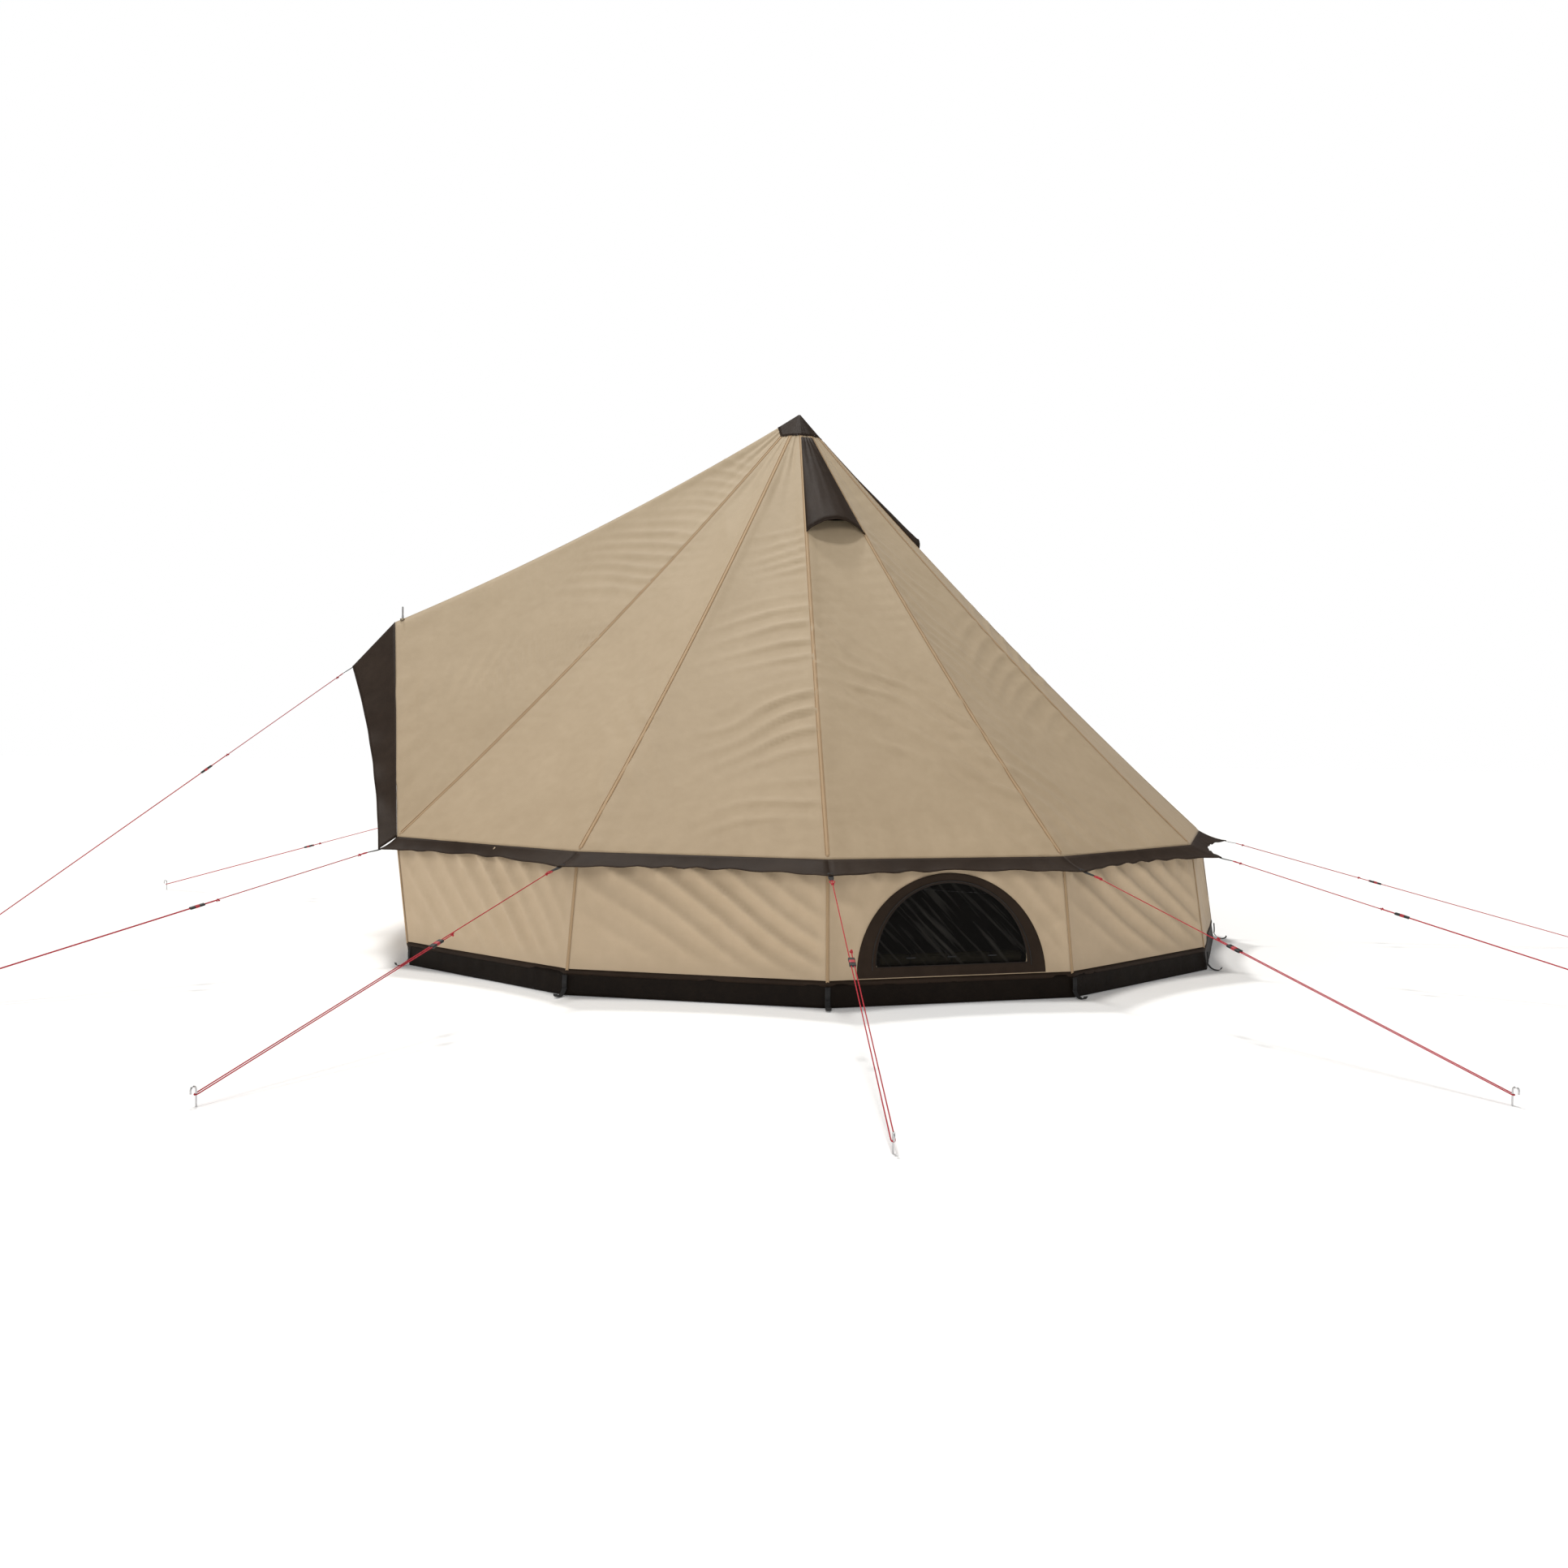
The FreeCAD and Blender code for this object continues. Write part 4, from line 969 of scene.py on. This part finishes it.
def wall_rows(low, high, count, columns, fold=True):
    """Rows of the wall's points, columns of them for each panel."""
    rows = []
    for z in spread(count, low, high):
        row = []
        for u in (1 + j / columns for j in range(PANELS * columns + 1)):
            stand = wall_fold(u, z) if fold else 0.0
            row.append(wall(min(u, LAST), z) + WALL_OUT[panel_at(u)] * stand)
        rows.append(row)
    return rows


def snapped_window(rows, columns):
    """Moves the points beside each window hole onto its outline; returns the hole's test."""
    inside = set()
    frames = {c: window_frame(c) for c in OPEN_PANELS}
    cell = PANEL_WIDTH / columns * 0.75
    for i, row in enumerate(rows):
        for j, p in enumerate(row):
            c = 1 + j // columns
            if c not in frames:
                continue
            origin, x, y, _ = frames[c]
            a, b = (p - origin).dot(x), (p - origin).dot(y) - WINDOW_HOLE_SILL
            r = math.hypot(a, b)
            if b < -cell or r > WINDOW_HOLE + cell:
                continue
            if r > WINDOW_HOLE - cell and b > cell:
                row[j] = p + (x * a + y * b) * (WINDOW_HOLE / r - 1)
            elif abs(b) <= cell and abs(a) < WINDOW_HOLE:
                row[j] = p - y * b
            elif r < WINDOW_HOLE and b > 0:
                inside.add((i, j))

    def skip(i, j):
        return any(k in inside for k in ((i, j), (i + 1, j), (i, j + 1), (i + 1, j + 1)))
    return skip


WALL_COLUMNS, WALL_TOP = 72, EAVE_Z - 0.0035
wall_grid = wall_rows(SKIRT_Z - 0.004, WALL_TOP, 38, WALL_COLUMNS)
skip_window = snapped_window(wall_grid, WALL_COLUMNS)
wall_nodes = ["wall_panels"] + [f"wall_panel_window_{p}" for p in OPEN_PANELS.values()]
walls = cloth_piece("wall_cloth", wall_grid, WALL_CANVAS_PAINTED_LIGHTER, skip=skip_window,
                    replaces=wall_nodes)


SKIRT_COLUMNS, DOOR_COLUMNS = 40, 30


def skirt_rows():
    """Hem band from one side of the doorway round to the other."""
    rows = []
    for z in spread(7, 0.0012, SKIRT_Z):
        row = [blend(door_edge(z, 1), wall(1, z), t) for t in spread(DOOR_COLUMNS)][:-1]
        free = 0.6 if z < SKIRT_Z - 0.001 else 0.3
        for u in (1 + j / SKIRT_COLUMNS for j in range(PANELS * SKIRT_COLUMNS + 1)):
            c = panel_at(u)
            p = wall(min(u, LAST), z)
            f = u - c
            wave = 0.006 * wobble(p, 5.0, 8.0) + 0.003 * folds(f * 11 + wobble(p, 6.0))
            stand = wave * smooth(0, 0.06, f) * smooth(0, 0.06, 1 - f) * (0.4 + 0.6 * z / SKIRT_Z)
            row.append(p + WALL_OUT[c] * stand * free)
        row += [blend(wall(LAST, z), door_edge(z, -1), t) for t in spread(DOOR_COLUMNS)][1:]
        rows.append(row)
    return rows


skirt = cloth_piece("skirt_band", skirt_rows(), SKIRT, 0.0016,
                    replaces=["skirt"])


def hem_line(z, lift):
    """Line round the wall's foot at a height, lifted from the cloth."""
    line = []
    for u in spread(PANELS * 60 + 1, 1, LAST):
        stand = wall_fold(min(u, PANELS + PANEL_END), z) + lift
        line.append(wall(min(u, LAST), z) + WALL_OUT[panel_at(u)] * stand)
    return line


# Folded seam that joins the wall to the skirt: (height from the skirt's top, lift)
HEM_PROFILE = ((-0.010, 0.0012), (0.0, 0.0042), (0.010, 0.0012))


hem = finish_piece("wall_hem_seam", grid_mesh("wall_hem_seam", [
    hem_line(SKIRT_Z + z, lift) for z, lift in HEM_PROFILE]), TRIM)
thicken(hem, 0.001)


def corner_seam(c):
    """Stitched seam up a wall corner."""
    out = Vector((math.sin(azimuth(c)), -math.cos(azimuth(c)), 0))
    return strip_along([wall(c, z) + out * 0.0012 for z in spread(20, SKIRT_Z, EAVE_Z - 0.006)],
                       out, 0.006)


corners = joined_piece("wall_corner_seams", [corner_seam(c) for c in range(1, LAST + 1)], SEAM)
thicken(corners, STRIP)
wall_rows(SKIRT_Z, WALL_TOP, 6, 4, False)
quarters = [1 + j / 4 for j in range(PANELS * 4)] + [PANELS + PANEL_END]
[[wall(u, z) for u in quarters] for z in (0.001, SKIRT_Z)]


ARC_POINTS = 64
# Cross-section of a window's border: (share from the hole to the outer edge, stand)
BORDER_PROFILE = ((0.0, 0.0015), (0.0, 0.0045), (0.10, 0.0055), (0.30, 0.0040), (0.55, 0.0048),
                  (0.80, 0.0040), (0.96, 0.0050), (1.0, 0.0044), (1.0, 0.0))


def half_disc(radius, sill):
    """Outline of a half disc on a sill, in window coordinates: its arc, then its sill."""
    arc = [(radius * math.cos(t), sill + radius * math.sin(t))
           for t in spread(ARC_POINTS, 0, math.pi)]
    return arc + [(x, sill) for x in spread(ARC_POINTS // 2, -radius, radius)[1:-1]]


def window_border_mesh(c):
    """Bound border between a window's hole and its outer edge, with rows of sewing."""
    inner = half_disc(WINDOW_HOLE, WINDOW_HOLE_SILL)
    outer = half_disc(WINDOW_R - 0.003, WINDOW_SILL)
    return grid_mesh("border", [[
        window_place(c, p[0] + (q[0] - p[0]) * t, p[1] + (q[1] - p[1]) * t, stand)
        for p, q in zip(inner, outer)] for t, stand in BORDER_PROFILE], closed=True)


def window_bead_mesh(c):
    """Piping round the hole, carried on past its start so that its ends lap."""
    points = [window_place(c, x, y, 0.0040) for x, y in half_disc(WINDOW_HOLE, WINDOW_HOLE_SILL)]
    return tube_along("bead", points + points[:2], 0.0022, 6)


def window_zip_line(c):
    """Line of the zip round a window's arc."""
    arc = half_disc(WINDOW_HOLE + 0.014, WINDOW_HOLE_SILL - 0.008)[:ARC_POINTS]
    return [window_place(c, x, y, 0.0058) for x, y in arc]


borders = joined_piece("window_frames", [window_border_mesh(c) for c in OPEN_PANELS], TRIM,
                       replaces=["window_borders"])
thicken(borders, 0.0012, 0.0)
repeats("window_zip_teeth", [window_zip_line(c) for c in OPEN_PANELS], 0.0042,
        (0.0042, 0.0018, 0.0026), BLACK)
joined_piece("window_piping", [window_bead_mesh(c) for c in OPEN_PANELS], ZIP_TAPE)


def netting_mesh(c):
    """Slightly slack netting over a window's hole."""
    rows = []
    for y in spread(26, 0.0, 1.0):
        half = WINDOW_HOLE * math.sqrt(max(0.0, 1 - (y * 0.999) ** 2)) + 0.004
        up = WINDOW_HOLE_SILL + y * (WINDOW_HOLE + 0.003)
        rows.append([window_place(c, x * half, up, 0.004 * wobble(Vector((x, y, c)), 2.5) - 0.003)
                     for x in spread(31, -1, 1)])
    return grid_mesh("netting", rows)


joined_piece("window_mesh", [netting_mesh(c) for c in OPEN_PANELS], NETTING,
             replaces=["window_netting"])

# The rolled covers: length, radius, turns, place (up, out) and the places of their ties
ROLL_LENGTH, ROLL_RADIUS, ROLL_TURNS = 0.555, 0.0225, 2.2
ROLL_UP, ROLL_OUT = WINDOW_HOLE_SILL + 0.024, -0.027
TIES, TIE_RADIUS = (-0.16, 0.0, 0.16), 0.0195


def roll_mesh(c):
    """Rolled cover: a loose spiral of cloth pinched by its ties."""
    rows = []
    for x in spread(60, -ROLL_LENGTH / 2, ROLL_LENGTH / 2):
        pinch = sum(0.22 * math.exp(-((x - tie) / 0.018) ** 2) for tie in TIES)
        row = []
        for k in range(40):
            share = k / 40
            turn = share * 2 * math.pi * ROLL_TURNS
            r = ROLL_RADIUS * (1 - 0.20 * (1 - share)) * (1 - pinch)
            r *= 1 + 0.05 * wobble(Vector((x * 9, math.cos(turn), math.sin(turn))), 1.5, c)
            row.append(window_place(c, x, ROLL_UP + r * math.cos(turn),
                                    ROLL_OUT + r * math.sin(turn)))
        rows.append(row)
    return grid_mesh("roll", rows)


def toggle_meshes(c):
    """Toggles with their loops round the rolled cover."""
    meshes = []
    for x in TIES:
        meshes.append(tube_along("loop", [
            window_place(c, x, ROLL_UP + TIE_RADIUS * math.cos(t),
                         ROLL_OUT + TIE_RADIUS * math.sin(t))
            for t in spread(25, 0, 2 * math.pi)], 0.0016, 6))
        meshes.append(tube_along("toggle", [
            window_place(c, x + along, ROLL_UP + 0.006, ROLL_OUT + 0.0215)
            for along in spread(9, -0.017, 0.017)], 0.0032, 8))
    return meshes


rolls = joined_piece("window_cover_rolls", [roll_mesh(c) for c in OPEN_PANELS], OLIVE,
                     replaces=["window_rolls"])
thicken(rolls, 0.0011)
joined_piece("window_toggles", [m for c in OPEN_PANELS for m in toggle_meshes(c)], BLACK)


# Eave flaps, hood, vents and cap

def flap_rows(c, columns=40, count=9):
    """Eave flap of one panel, from the eave out to its hollowed edge."""
    rows = []
    for t in spread(count):
        row = []
        for f in spread(columns + 1):
            inner = blend(eave(c), eave(c + 1), f)
            outer = blend(flap_corner(c), flap_corner(c + 1), f)
            hollow = 4 * f * (1 - f)
            outer += UP * (FLAP_DROP * hollow / 3) - outward(outer) * (FLAP_HOLLOW * hollow)
            p = blend(inner, outer, t)
            droop = 4 * t * (1 - t) * 0.007 + t * t * 0.010 * hollow
            near = min(f, 1 - f)
            rays = math.sin(2 * math.pi * (near * 26 + c)) * math.exp(-near / 0.10)
            pleat = 0.005 * rays * math.sin(math.pi * min(1, t * 1.05))
            wave = 0.004 * math.sin(2 * math.pi * (f * 6.5 + wobble(p, 3.0))) * t * hollow
            row.append(p + UP * (0.001 - droop + pleat + wave))
        rows.append(row)
    return rows


flap_grids = [flap_rows(c) for c in range(1, LAST)]
flaps = joined_piece("eave_flap_cloth", [grid_mesh("flap", rows) for rows in flap_grids], TRIM,
                     replaces=["eave_flaps"])
thicken(flaps, CLOTH)
flap_binding = joined_piece("eave_flap_binding", [
    tube_along("edge", [p - UP * 0.001 for p in rows[-1]], 0.0022, 6) for rows in flap_grids],
    TRIM)


def hood_rows(columns=64, count=15):
    """Both wings of the hood as one cloth, from the +X door corner over the ridge to the other."""
    rows = []
    for t in spread(count):
        row = []
        for k in spread(columns * 2 + 1, -1, 1):
            side, share = (1 if k < 0 else -1), abs(k)
            c = 1 if side > 0 else LAST
            inner = blend(PEAK, eave(c), share)
            hollow = 4 * share * (1 - share)
            outer = blend(TIP, flap_corner(c), share) + Vector((0, HOOD_HOLLOW * hollow, 0))
            p = blend(inner, outer, t)
            out = Vector((side * 0.75, -0.15, 0.6))
            sway = 0.010 * math.sin(math.pi * t) * math.sin(math.pi * share)
            wave = 0.006 * math.sin(2 * math.pi * (share * 5.5 + t * 0.7)) * t * hollow
            crease = 0.004 * wobble(p, 6.0, 3.0) * smooth(0.0, 0.15, share) * smooth(0, 0.3, t)
            row.append(p + out * (wave + crease - sway))
        rows.append(row)
    return rows


hood_grid = hood_rows()
hood = cloth_piece("hood_cloth", hood_grid, TRIM, replaces=["door_hood"])
hood_binding = finish_piece("hood_binding", tube_along("hood_binding", hood_grid[-1], 0.003, 6),
                            TRIM)


def vent_rows(c, columns=30, count=20):
    """Bowed hood over a vent, which stands furthest at the middle of its lower edge."""
    rows = []
    out = roof_normal(c + 0.5, 0.2)
    for t in spread(count):
        row = []
        for f in spread(columns + 1):
            bow = 1 - (2 * f - 1) ** 2
            s = VENT_TOP + (VENT_BOTTOM - VENT_ARCH * bow - VENT_TOP) * t
            stand = VENT_BULGE * (bow ** 0.9) * t ** 1.15
            ripple = 0.003 * wobble(Vector((f * 5, t * 3, c)), 1.5) * smooth(0, 0.2, bow)
            row.append(blend(roof(c, s), roof(c + 0.99999, s), f)
                       + out * (stand + ripple + 0.0025))
        rows.append(row)
    return rows


vent_grids = [vent_rows(c) for c in OPEN_PANELS]
vents = joined_piece("vent_hood_cloth", [grid_mesh("vent", rows) for rows in vent_grids], TRIM,
                     replaces=[f"vent_hood_{p}" for p in OPEN_PANELS.values()])
thicken(vents, CLOTH)
vent_binding = joined_piece("vent_hood_binding", [
    tube_along("edge", rows[-1], 0.003, 6) for rows in vent_grids], TRIM)


def vent_net_mesh(c):
    """Netting under a vent, a little larger than its hole."""
    half = VENT_HOLE_WIDTH / 2 + 0.01
    return grid_mesh("net", [[roof(c + f, s) - roof_normal(c + 0.5, s) * 0.004
                              for f in spread(13, 0.5 - half, 0.5 + half)]
                             for s in spread(15, VENT_HOLE[0] - 0.006, VENT_HOLE[1] + 0.006)])


joined_piece("vent_mesh", [vent_net_mesh(c) for c in OPEN_PANELS], NETTING,
             replaces=["vent_netting"])


def cap_rows():
    """Small cap over the top of the roof, with a frilled edge."""
    rows = []
    for s in spread(10, 0.002, CAP_SHARE):
        row = []
        for u in spread(RIDGE_END * 8 + 1, 0, RIDGE_END)[:-1]:
            frill = 0.0014 * math.sin(2 * math.pi * (u % 1) * 3) * smooth(0.01, CAP_SHARE, s)
            row.append(roof(u, s) + UP * (0.0032 + frill - 0.0012 * (s / CAP_SHARE)))
        rows.append(row)
    return rows


cap_grid = cap_rows()
cap = finish_piece("apex_cap_cloth", grid_mesh("apex_cap_cloth", cap_grid, closed=True), TRIM,
                   replaces=["apex_cap"])
thicken(cap, CLOTH)
cap_edge = finish_piece("apex_cap_binding", tube_along(
    "apex_cap_binding", cap_grid[-1] + cap_grid[-1][:2], 0.0022, 6), TRIM)


[[p for c in range(1, LAST) for p in flap_rows(c, 6, 3)[i]] for i in range(3)]
round(3 * sheet_area(vent_rows(3, 8, 6)), 3)


# Door end

FORWARD = Vector((0, -1, 0))
FRONT_COLUMNS, DOOR_CLOTH_COLUMNS = 22, 26
# The heights between which the zips run
ZIP_LOW, ZIP_HIGH = 0.03, 1.30


def front_rows(left, right, heights, columns, stand):
    """Rows over the door front between two edges that are functions of height."""
    return [[p + FORWARD * stand(t, z, p) for t, p in
             ((t, blend(left(z), right(z), t)) for t in spread(columns))]
            for z in heights]


def front_outer(side):
    """Outer slope of the door front: up the corner, then along the roof's edge."""
    def at(z):
        share = (z - EAVE_Z + 0.004) / (PEAK_Z - EAVE_Z)
        x = wall(1, z).x if share <= 0 else eave(1).x * (1 - share)
        return Vector((side * x, door_y(z), z))
    return at


def front_fold(t, z, p):
    """Stand of the fixed cloth beside the doorway."""
    edge = smooth(0, 0.12, t) * smooth(0, 0.12, 1 - t)
    wave = 0.004 * folds(t * 3 + z * 5.0) + 0.006 * wobble(p, 3.5, 6.0)
    return edge * wave * (1 - smooth(1.30, 1.36, z))


def door_fold(t, z, p):
    """Stand of a door flap's cloth."""
    pin = smooth(0, 0.1, t) * smooth(0, 0.1, 1 - t)
    return pin * (0.003 * folds(t * 2.2 - z * 3.0) + 0.004 * wobble(p, 3.0, 9.0))


for side, place in ((1, "right"), (-1, "left")):
    outer = front_outer(side)

    def opening_edge(z, side=side):
        return door_edge(z, side)

    def middle(z, side=side, gap=0.002, lift=0.0):
        return Vector((side * gap, door_y(z) - lift, z))

    def hung_edge(z, side=side):
        return door_edge(z, side) - Vector((side * 0.0044, 0, 0))

    def turned_out(rows, side=side):
        """Rows whose faces point away from the tent on either side of the door."""
        return [row[::-1] for row in rows] if side > 0 else rows

    rows = front_rows(opening_edge, outer, spread(70, SKIRT_Z - 0.002, 1.374), FRONT_COLUMNS,
                      front_fold)
    rows += [[blend(Vector((0, door_y(z), z)), outer(z), t) for t in spread(FRONT_COLUMNS)]
             for z in (1.40, 1.43)]
    rows = turned_out(rows)
    front = cloth_piece(f"front_cloth_{place}", rows, WALL_CANVAS_PAINTED_LIGHTER,
                        replaces=[f"front_side_{place}"])

    rows = turned_out(front_rows(middle, hung_edge, spread(90, 0.0085, 1.338),
                                 DOOR_CLOTH_COLUMNS, door_fold))
    flap = cloth_piece(f"door_cloth_{place}", rows, WALL_CANVAS_PAINTED_LIGHTER, body=f"door_{place}",
                       replaces=[f"door_flap_{place}"])
    heights = spread(30, ZIP_LOW, ZIP_HIGH)
    tapes = joined_piece(f"door_zip_tape_{place}", [
        strip_along([door_edge(z, side) + Vector((-side * 0.016, -0.0022, 0)) for z in heights],
                    FORWARD, 0.010),
        strip_along([middle(z, gap=0.013, lift=0.0022) for z in heights], FORWARD, 0.009)],
        ZIP_TAPE, f"door_{place}")
    thicken(tapes, STRIP, 0.0)
    line = [middle(z, gap=0.0042, lift=0.0030) for z in spread(40, ZIP_LOW, 1.325)]
    teeth = repeats(f"door_zip_teeth_{place}", [line], 0.005, (0.0036, 0.0022, 0.003), BLACK,
                    f"door_{place}")


# Floor

def floor_corner(c):
    p = ring(c, HEM_R - 0.026, 0.0)
    return p + Vector((0, 0.008, 0)) if c in (1, LAST) else p


# Thickness of the groundsheet
SHEET = 0.0012


def floor_point(edge, share):
    """A point of the floor, at a share of the way from its middle to its edge."""
    p = edge * share
    wave = 0.0035 * smooth(-0.2, 0.6, wobble(p, 1.6, 2.0)) + 0.0015 * abs(wobble(p, 7.0))
    return Vector((p.x, p.y, 0.0014 + wave * (1 - smooth(0.9, 1, share))))


def floor_rows():
    """Floor from its middle out to its edge, round the panels and then across the doorway."""
    edges = [around(floor_corner, u) for u in spread(PANELS * 10 + 1, 1, LAST)]
    edges += [blend(floor_corner(LAST), floor_corner(1), t) for t in spread(14)[1:]]
    return [[floor_point(edge, share) for edge in edges][::-1] for share in spread(28)]


floor = cloth_piece("floor_sheet", floor_rows(), FLOOR, SHEET,
                    replaces=["groundsheet"])


def upstand_rows():
    """Edge of the floor that is turned up inside the wall."""
    rows = []
    for t in spread(7):
        row = []
        for u in spread(PANELS * 16 + 1, 1, LAST):
            c = panel_at(u)
            f = u - c
            low = around(floor_corner, u) + UP * 0.0028
            top = wall(min(u, LAST), 0.1)
            p = blend(low, top - outward(top) * 0.0095, t)
            stand = 0.004 * wobble(p, 6.0, 3.0) * t * smooth(0, 0.1, f) * smooth(0, 0.1, 1 - f)
            row.append(p - WALL_OUT[c] * abs(stand))
        rows.append(row)
    return rows


upstand_grid = upstand_rows()
upstand = cloth_piece("floor_edge", upstand_grid, FLOOR, SHEET,
                      replaces=["groundsheet_upstand"])
SILL_HEIGHT = 0.078
sill_rows = [[blend(floor_corner(1), floor_corner(LAST), t) + Vector((0, 0.001, 0.003 + up))
              for t in spread(40)] for up in spread(5, 0.0, SILL_HEIGHT)]
sill = cloth_piece("floor_sill", sill_rows, FLOOR, SHEET)


# Webbing, runners and pegs

# Thickness and half width of the webbing, and how much each cut takes off a profile's corners
WEBBING_THICK, WEBBING_HALF, CUT = 0.0018, 0.0095, 0.25
# Hem loop, and the strap that sews it to the skirt: (distance out, height)
HEM_LOOP = [(0.0015, 0.030), (0.014, 0.012), (0.032, 0.0035), (0.048, 0.003), (0.058, 0.007),
            (0.061, 0.0155)]
HEM_STRAP = [(0.003, 0.030), (0.0028, 0.05), (0.0005, 0.075)]
# Height of the tab's webbing under a corner, and how far it runs in under the flap
TAB_UNDER, TAB_IN = -0.0035, 0.03


def ribbon(profile, origin, out, across, half=lambda u: WEBBING_HALF):
    """Webbing along a profile of (distance out, height); half gives its half width."""
    return grid_mesh("webbing", [[origin + out * u + UP * z + across * (half(u) * t)
                                  for t in spread(5, -1, 1)] for u, z in profile])


def softened(profile):
    """Profile with its corners cut twice, for webbing that bends softly."""
    points = list(profile)
    for _ in range(2):
        cut = [points[0]]
        for (a, b), (c, d) in zip(points, points[1:]):
            cut += [(a + (c - a) * share, b + (d - b) * share) for share in (CUT, 1 - CUT)]
        points = cut + [points[-1]]
    return points


def hem_loop_meshes(c):
    """Peg loop at a hem corner, with the strap that sews it on."""
    foot = ring(c, HEM_R, 0.0)
    out = outward(foot)
    return [ribbon(profile, foot, out, UP.cross(out))
            for profile in (softened(HEM_LOOP), HEM_STRAP)]


def guy_tab_mesh(c):
    """Tab for a guy line, narrower towards its end, at a flap's corner or the hood's tip."""
    hooded = c > LAST
    start, route = (TIP, HOOD_GUY) if hooded else (flap_corner(c), CORNER_GUY)
    end = (route[0][0] + 0.001, route[0][2] - start.z + 0.0005)
    inner = (-TAB_IN, TAB_UNDER + TAB_IN * FLAP_DROP / FLAP_REACH)
    profile = [(0.001, TAB_UNDER), end] if hooded else [inner, (0.0, TAB_UNDER), end]
    out = outward(start)
    return ribbon(softened(profile), start, out, UP.cross(out),
                  lambda u: WEBBING_HALF * (1 - 0.35 * smooth(0.015, end[0], u)))


hem_loops = joined_piece("hem_webbing", [m for c in range(1, LAST + 1)
                                         for m in hem_loop_meshes(c)], WEBBING,
                         replaces=["hem_loops"])
thicken(hem_loops, WEBBING_THICK)
tabs = joined_piece("guy_webbing", [guy_tab_mesh(c) for c in range(1, RIDGE_END + 1)], WEBBING,
                    replaces=["guy_tabs"])
thicken(tabs, WEBBING_THICK)


# A runner's place along a line from its tab's end, sideways of its first run, and its sleeve
RUNNER_AT, HOOD_RUNNER_AT, RUNNER_ASIDE = 0.703, 0.645, 0.005
SLEEVE_HALF, SLEEVE_WIDE, SLEEVE_DEEP, SLEEVE_BULGE = 0.009, 0.0092, 0.0046, 0.0006


def runner_frame(start, route, distance):
    """(centre, way along the line, side, up) of a runner."""
    points = guy_points(start, route)
    a, b = points[0], points[2]
    way = (b - a).normalized()
    share = (distance - route[0][0]) / (route[2][0] - route[0][0])
    side = (points[3] - points[2]).normalized()
    return a + (b - a) * share + side * RUNNER_ASIDE, way, side, way.cross(side)


def squared(x):
    """Sine or cosine drawn out, so that a circle becomes a rounded square."""
    return math.copysign(abs(x) ** 0.5, x)


def runner_sleeve(start, route, distance):
    """Coloured band round a runner's middle."""
    centre, way, side, up = runner_frame(start, route, distance)
    rows = []
    for x in spread(9, -SLEEVE_HALF, SLEEVE_HALF):
        grow = SLEEVE_BULGE * (1 - (x / 0.0095) ** 4)
        rows.append([centre + way * x + side * (squared(math.cos(t)) * (SLEEVE_WIDE + grow))
                     + up * (squared(math.sin(t)) * (SLEEVE_DEEP + grow))
                     for t in (2 * math.pi * k / 24 for k in range(24))])
    return grid_mesh("sleeve", rows, closed=True)


for label, (start, route) in ALL_GUYS.items():
    distance = HOOD_RUNNER_AT if label == "hood" else RUNNER_AT
    sleeve = finish_piece(f"runner_sleeve_{label}", runner_sleeve(start, route, distance),
                          RED_PLASTIC, f"runner_{label}")
    thicken(sleeve, 0.0005, 0.0)


# The parts that stay as they are, with their finishes

NODE_LOOKS = {"guy_runner": BLACK, "door_zip_slider": BLACK, "guy_pegs": WIRE,
              "centre_pole_foot": RUBBER, "centre_pole_cap": BLACK, "centre_pole": STEEL,
              "door_pole_feet": RUBBER, "door_pole": STEEL, "ridge_eyelet": BRASS}
for name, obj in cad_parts.items():
    material = next((look for prefix, look in NODE_LOOKS.items() if name.startswith(prefix)), None)
    if material and obj.material_slots:
        for slot in obj.material_slots:
            slot.material = material
    elif material:
        obj.data.materials.append(material)


# The centre pole's foot and section lengths, and its radius where the buttons stand
FOOT_HEIGHT, SECTION, BUTTON_BELOW, BUTTON_BASE = 0.015, 0.825, 0.03, 0.0155


def spring_button(section):
    """Sprung button that locks a section of the pole into the next."""
    z = FOOT_HEIGHT + section * SECTION - BUTTON_BELOW
    return tube_along("button", [Vector((0, -BUTTON_BASE - out, z)) for out in (0, 0.002, 0.0035)],
                      0.0045, 12)


joined_piece("pole_buttons", [spring_button(section) for section in (1, 2)], WIRE)


# Floor of the studio

FLOOR_HALF, FLOOR_DROP = 30, 0.001
ground = bpy.data.meshes.new("ground")
ground.from_pydata([(x * FLOOR_HALF, y * FLOOR_HALF, -FLOOR_DROP)
                    for x, y in ((-1, -1), (1, -1), (1, 1), (-1, 1))], [], [(0, 1, 2, 3)])
stage = bpy.data.objects.new("ground", ground)
bpy.context.scene.collection.objects.link(stage)
pale, _, pale_shader = new_material("pale_floor", 0.7)
pale_shader.inputs["Base Color"].default_value = (0.93, 0.93, 0.925, 1)
pale_shader.inputs["Emission Color"].default_value = (1, 1, 1, 1)
pale_shader.inputs["Emission Strength"].default_value = 0.09
ground.materials.append(pale)
